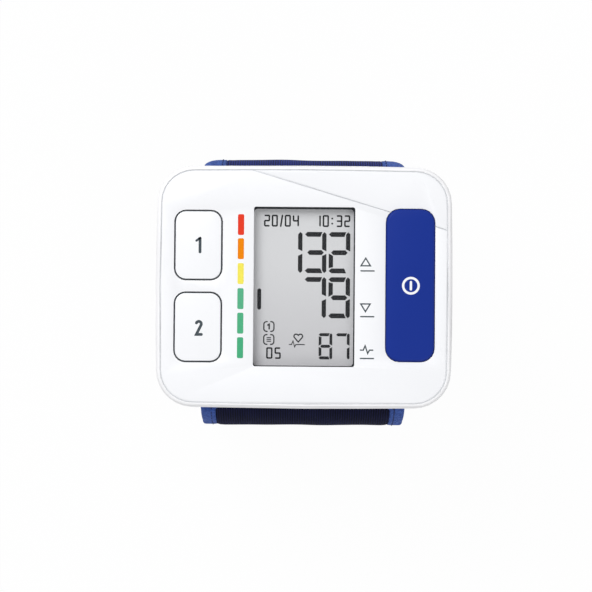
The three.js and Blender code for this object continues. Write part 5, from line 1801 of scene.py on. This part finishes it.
def turned(name, outline, sides):
    """A closed form from an outline of (radius, height) that starts and ends on Y, turned round Y."""
    rings = outline[1:-1]
    points = [Vector((0, outline[0][1], 0)), Vector((0, outline[-1][1], 0))]
    for radius, height in rings:
        for i in range(sides):
            angle = math.tau * i / sides
            points.append(Vector((radius * math.cos(angle), height, radius * math.sin(angle))))
    faces = []
    for i in range(sides):
        after = (i + 1) % sides
        faces.append((0, 2 + after, 2 + i))
        faces.append((1, 2 + (len(rings) - 1) * sides + i, 2 + (len(rings) - 1) * sides + after))
        for row in range(len(rings) - 1):
            a, b = 2 + row * sides + i, 2 + row * sides + after
            faces.append((a, b, b + sides, a + sides))
    mesh = bpy.data.meshes.new(name)
    mesh.from_pydata(points, [], faces)
    return faced_out(mesh)


def cell_outline():
    """(radius, height) from the middle of the negative end to the middle of the positive one."""
    shoulder = CELL_END - NUB_HEIGHT
    jacket, can = CELL_RADIUS, CELL_RADIUS - JACKET_OVER
    rim = millimetres(CELL_RIM)
    turn_in = [(can - 0.3 * MM, 0.12 * MM), (jacket - 0.12 * MM, 0.18 * MM), (jacket, 0.45 * MM)]
    low = [(radius, -CELL_END + depth) for radius, depth in rim + turn_in]
    high = [(radius, shoulder - depth) for radius, depth in reversed(rim + turn_in)]
    nub = [(NUB_RADIUS + 0.3 * MM, shoulder - 0.1 * MM), (NUB_RADIUS, shoulder + 0.15 * MM),
           (NUB_RADIUS, CELL_END - 0.2 * MM), (NUB_RADIUS - 0.2 * MM, CELL_END)]
    return [(0, -CELL_END + 0.12 * MM)] + low + high + nub + [(0, CELL_END)]


for node, plus_end in (("cell_1", 1), ("cell_2", -1)):
    low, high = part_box(node)
    place = Matrix.Translation((low + high) / 2) @ Matrix.Diagonal((1, plus_end, 1, 1))
    can = turned(f"{node}_can", cell_outline(), CELL_SIDES)
    can.transform(place)
    cell_can = link(f"{node}_can", faced_out(can), cell_jacket, "housing", [node])
    cell_can.data.set_sharp_from_angle(angle=EDGE_ANGLE)
print("cells:", CELL_SIDES, "sides, radius", round(CELL_RADIUS / MM, 2), "mm")

# %% [markdown]
# A liquid crystal display draws with fixed shapes. Every digit has seven: three across and four upright, cut
# on the slant where they meet, with a hair's gap between them. The two on the right run the full height to a
# point, and those on the left stand between the ones across. The shapes below are written once, in units of
# the line's width, and each number only picks which of them are lit.

# %% Seven shapes of a digit
SMALL_LINE, MIDDLE_LINE, LARGE_LINE = 0.44, 0.76, 1.2  # in millimetres
SEGMENTS = {"0": "abcdef", "1": "bc", "2": "abdeg", "3": "abcdg", "4": "bcfg", "5": "acdfg", "6": "acdefg",
            "7": "abc", "8": "abcdefg", "9": "abcdfg"}


def segment(letter, width, height, line):
    """The outline of one shape, with the digit's lower left corner at the origin."""
    middle = height / 2
    upper = {
        "a": [(0, height - 0.55 * line), (0.6 * line, height), (width - 0.93 * line, height),
              (width - 1.38 * line, height - 1.1 * line), (0.6 * line, height - 1.1 * line)],
        "b": [(width - line, middle + 0.78 * line), (width, middle + 0.3 * line),
              (width, height - 0.45 * line), (width - 0.5 * line, height),
              (width - line, height - 0.6 * line)],
        "f": [(0, middle + 0.2 * line), (line, middle + 0.75 * line), (line, height - 1.4 * line),
              (0, height - 1.15 * line)],
    }
    if letter in upper:
        return upper[letter]
    if letter == "g":
        tips = (0.55 * line, width - 0.6 * line)
        corners = (1.05 * line, width - 1.1 * line)
        half = 0.55 * line
        return [(tips[0], middle), (corners[0], middle + half), (corners[1], middle + half),
                (tips[1], middle), (corners[1], middle - half), (corners[0], middle - half)]
    mirrored = upper[{"d": "a", "c": "b", "e": "f"}[letter]]
    return [(x, height - y) for x, y in reversed(mirrored)]


def small_segment(letter, width, height, line):
    """The same for a small digit, whose shapes are plain strokes with no room for a slant."""
    low, high, middle, right = line / 2, height - line / 2, height / 2, width - line / 2
    ends = {
        "a": ((low, high), (right, high)),
        "b": ((right, high), (right, middle)),
        "c": ((right, middle), (right, low)),
        "d": ((low, low), (right, low)),
        "e": ((low, middle), (low, low)),
        "f": ((low, high), (low, middle)),
        "g": ((low, middle), (right, middle)),
    }[letter]
    (ax, ay), (bx, by) = ends
    gap = 0.32 * line / math.dist(*ends)
    return stroke([(ax + (bx - ax) * share, ay + (by - ay) * share) for share in (gap, 1 - gap)], line)


def digit(character, left, right, bottom, top, line):
    """The lit shapes of one digit, all sizes in millimetres."""
    shapes = small_segment if line < MIDDLE_LINE else segment
    outlines = [shapes(letter, right - left, top - bottom, line) for letter in SEGMENTS[character]]
    return [millimetres(outline, left * MM, bottom * MM) for outline in outlines]


print("shapes written for", len(SEGMENTS), "figures")

# %% [markdown]
# What the display shows: a date and a time, the upper and the lower value in large digits, the pulse, the
# number of the stored reading, and small signs for the user, the memory, the scale and the heartbeat.

# %% Figures in the display
ROWS = (  # text, the left and right of each column, bottom, top and width of line, in millimetres
    ("20", ((-11.25, -9.55), (-9.1, -7.4)), 16.7, 20.0, SMALL_LINE),
    ("04", ((-5.5, -3.8), (-3.3, -1.55)), 16.7, 20.0, SMALL_LINE),
    ("10", ((2.75, 4.5), (5.0, 6.75)), 16.7, 20.0, SMALL_LINE),
    ("32", ((8.75, 10.45), (10.95, 12.65)), 16.7, 20.0, SMALL_LINE),
    ("132", ((-6.6, -0.55), (0.15, 6.1), (6.75, 12.7)), 3.9, 15.3, LARGE_LINE),
    ("79", ((0.15, 6.1), (6.75, 12.7)), -8.55, 2.8, LARGE_LINE),
    ("87", ((4.15, 7.9), (8.95, 12.7)), -19.95, -12.7, MIDDLE_LINE),
    ("05", ((-10.35, -8.6), (-8.05, -6.3)), -19.9, -16.7, SMALL_LINE),
)
lit = []
for text, columns, bottom, top, line in ROWS:
    for character, (left, right) in zip(text, columns):
        lit += digit(character, left, right, bottom, top, line)
lit.append(stroke(millimetres([(-6.6, 16.85), (-6.15, 19.8)]), SMALL_LINE * MM))  # the stroke in the date
for height in (17.65, 19.05):  # the colon in the time
    dot = millimetres(arc(7.65, height, 0.13, 0, 324, 9))
    lit += [stroke(dot, 0.24 * MM, True), dot]
print(len(lit), "lit shapes in the figures")

# %% [markdown]
# The small signs are strokes. The user's and the memory's each stand in a round frame that is open above and
# below, and a line with one beat runs under the heart.

# %% Small signs in the display
SIGN_X = -9.65 * MM
USER_Y, MEMORY_Y = -10.98 * MM, -14.56 * MM
HEART_X, HEART_Y = -1.5 * MM, -14.0 * MM
SIGN_LINE, FIGURE_LINE, FINE_LINE = 0.34 * MM, 0.4 * MM, 0.26 * MM
SCALE_SIGN = [size * MM for size in (-12.93, -6.32, -11.86, -0.46, 0.53)]  # two corners and their radius
INK_UNDER, INK_OVER = 0.01 * MM, 0.03 * MM


def bracket(side):
    """Half of the frame round a small sign, in millimetres."""
    corner = arc(side * 0.65, 0.6, 0.75, 90, 90 - side * 90, 5)
    half = [(side * 0.5, 1.35)] + corner[1:]
    return half + [(x, -y) for x, y in reversed(half)]


lit.append(rounded_box(*SCALE_SIGN))
for sign_y in (USER_Y, MEMORY_Y):
    lit += [stroke(millimetres(bracket(side), SIGN_X, sign_y), SIGN_LINE) for side in (-1, 1)]
user_figure = [(-0.3, 0.4), (0.08, 0.62), (0.08, -0.65)]
lit.append(stroke(millimetres(user_figure, SIGN_X, USER_Y), FIGURE_LINE))
for row in (-0.5, 0, 0.5):
    lit.append(stroke(millimetres([(-0.5, row), (0.5, row)], SIGN_X, MEMORY_Y), FINE_LINE))
heart = arc(0.6, 0.38, 0.6, -25, 150, 9) + arc(-0.6, 0.38, 0.6, 30, 205, 9) + [(0, -1.2)]
lit.append(stroke(millimetres(heart, HEART_X, HEART_Y), SIGN_LINE, True))
beat = [(-3.95, -15.9), (-3.35, -15.9), (-2.95, -14.9), (-2.5, -16.55), (-2.15, -15.9), (0.2, -15.9)]
lit.append(stroke(millimetres(beat), FINE_LINE))

DISPLAY_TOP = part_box("display")[1].z
display_ink = ink_finish("display_ink", tint(34, 35, 38), 0.5)
marks_mesh = slabs("display_marks", lit, DISPLAY_TOP - INK_UNDER, DISPLAY_TOP + INK_OVER)
link("display_marks", marks_mesh, display_ink, "housing")
print(len(lit), "lit shapes with the signs")

# %% [markdown]
# A dark line is printed round the lens, just inside the window's edge, and it hides the edge of the display.
# It is painted shadow of the window's recess as well: it is wider at the top and on the right, where that
# shadow falls on the display.

# %% Painted shadow round the window
LENS_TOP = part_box("display_lens")[1].z
# dark ink that hides the display's edge, and painted shadow of the recess at the top and right
shadow_outer = rounded_box(-14.4 * MM, -22.3 * MM, 14.4 * MM, 22.3 * MM, 1.2 * MM)
shadow_inner = rounded_box(-13.95 * MM, -21.74 * MM, 13.6 * MM, 21.46 * MM, 1.0 * MM)
painted_shadow_ink = ink_finish("painted_shadow_ink", tint(52, 54, 58))
ink("window_painted_shadow", [(shadow_outer, shadow_inner)], LENS_TOP, painted_shadow_ink, "housing")
print("lens at", round(LENS_TOP / MM, 2), "mm")
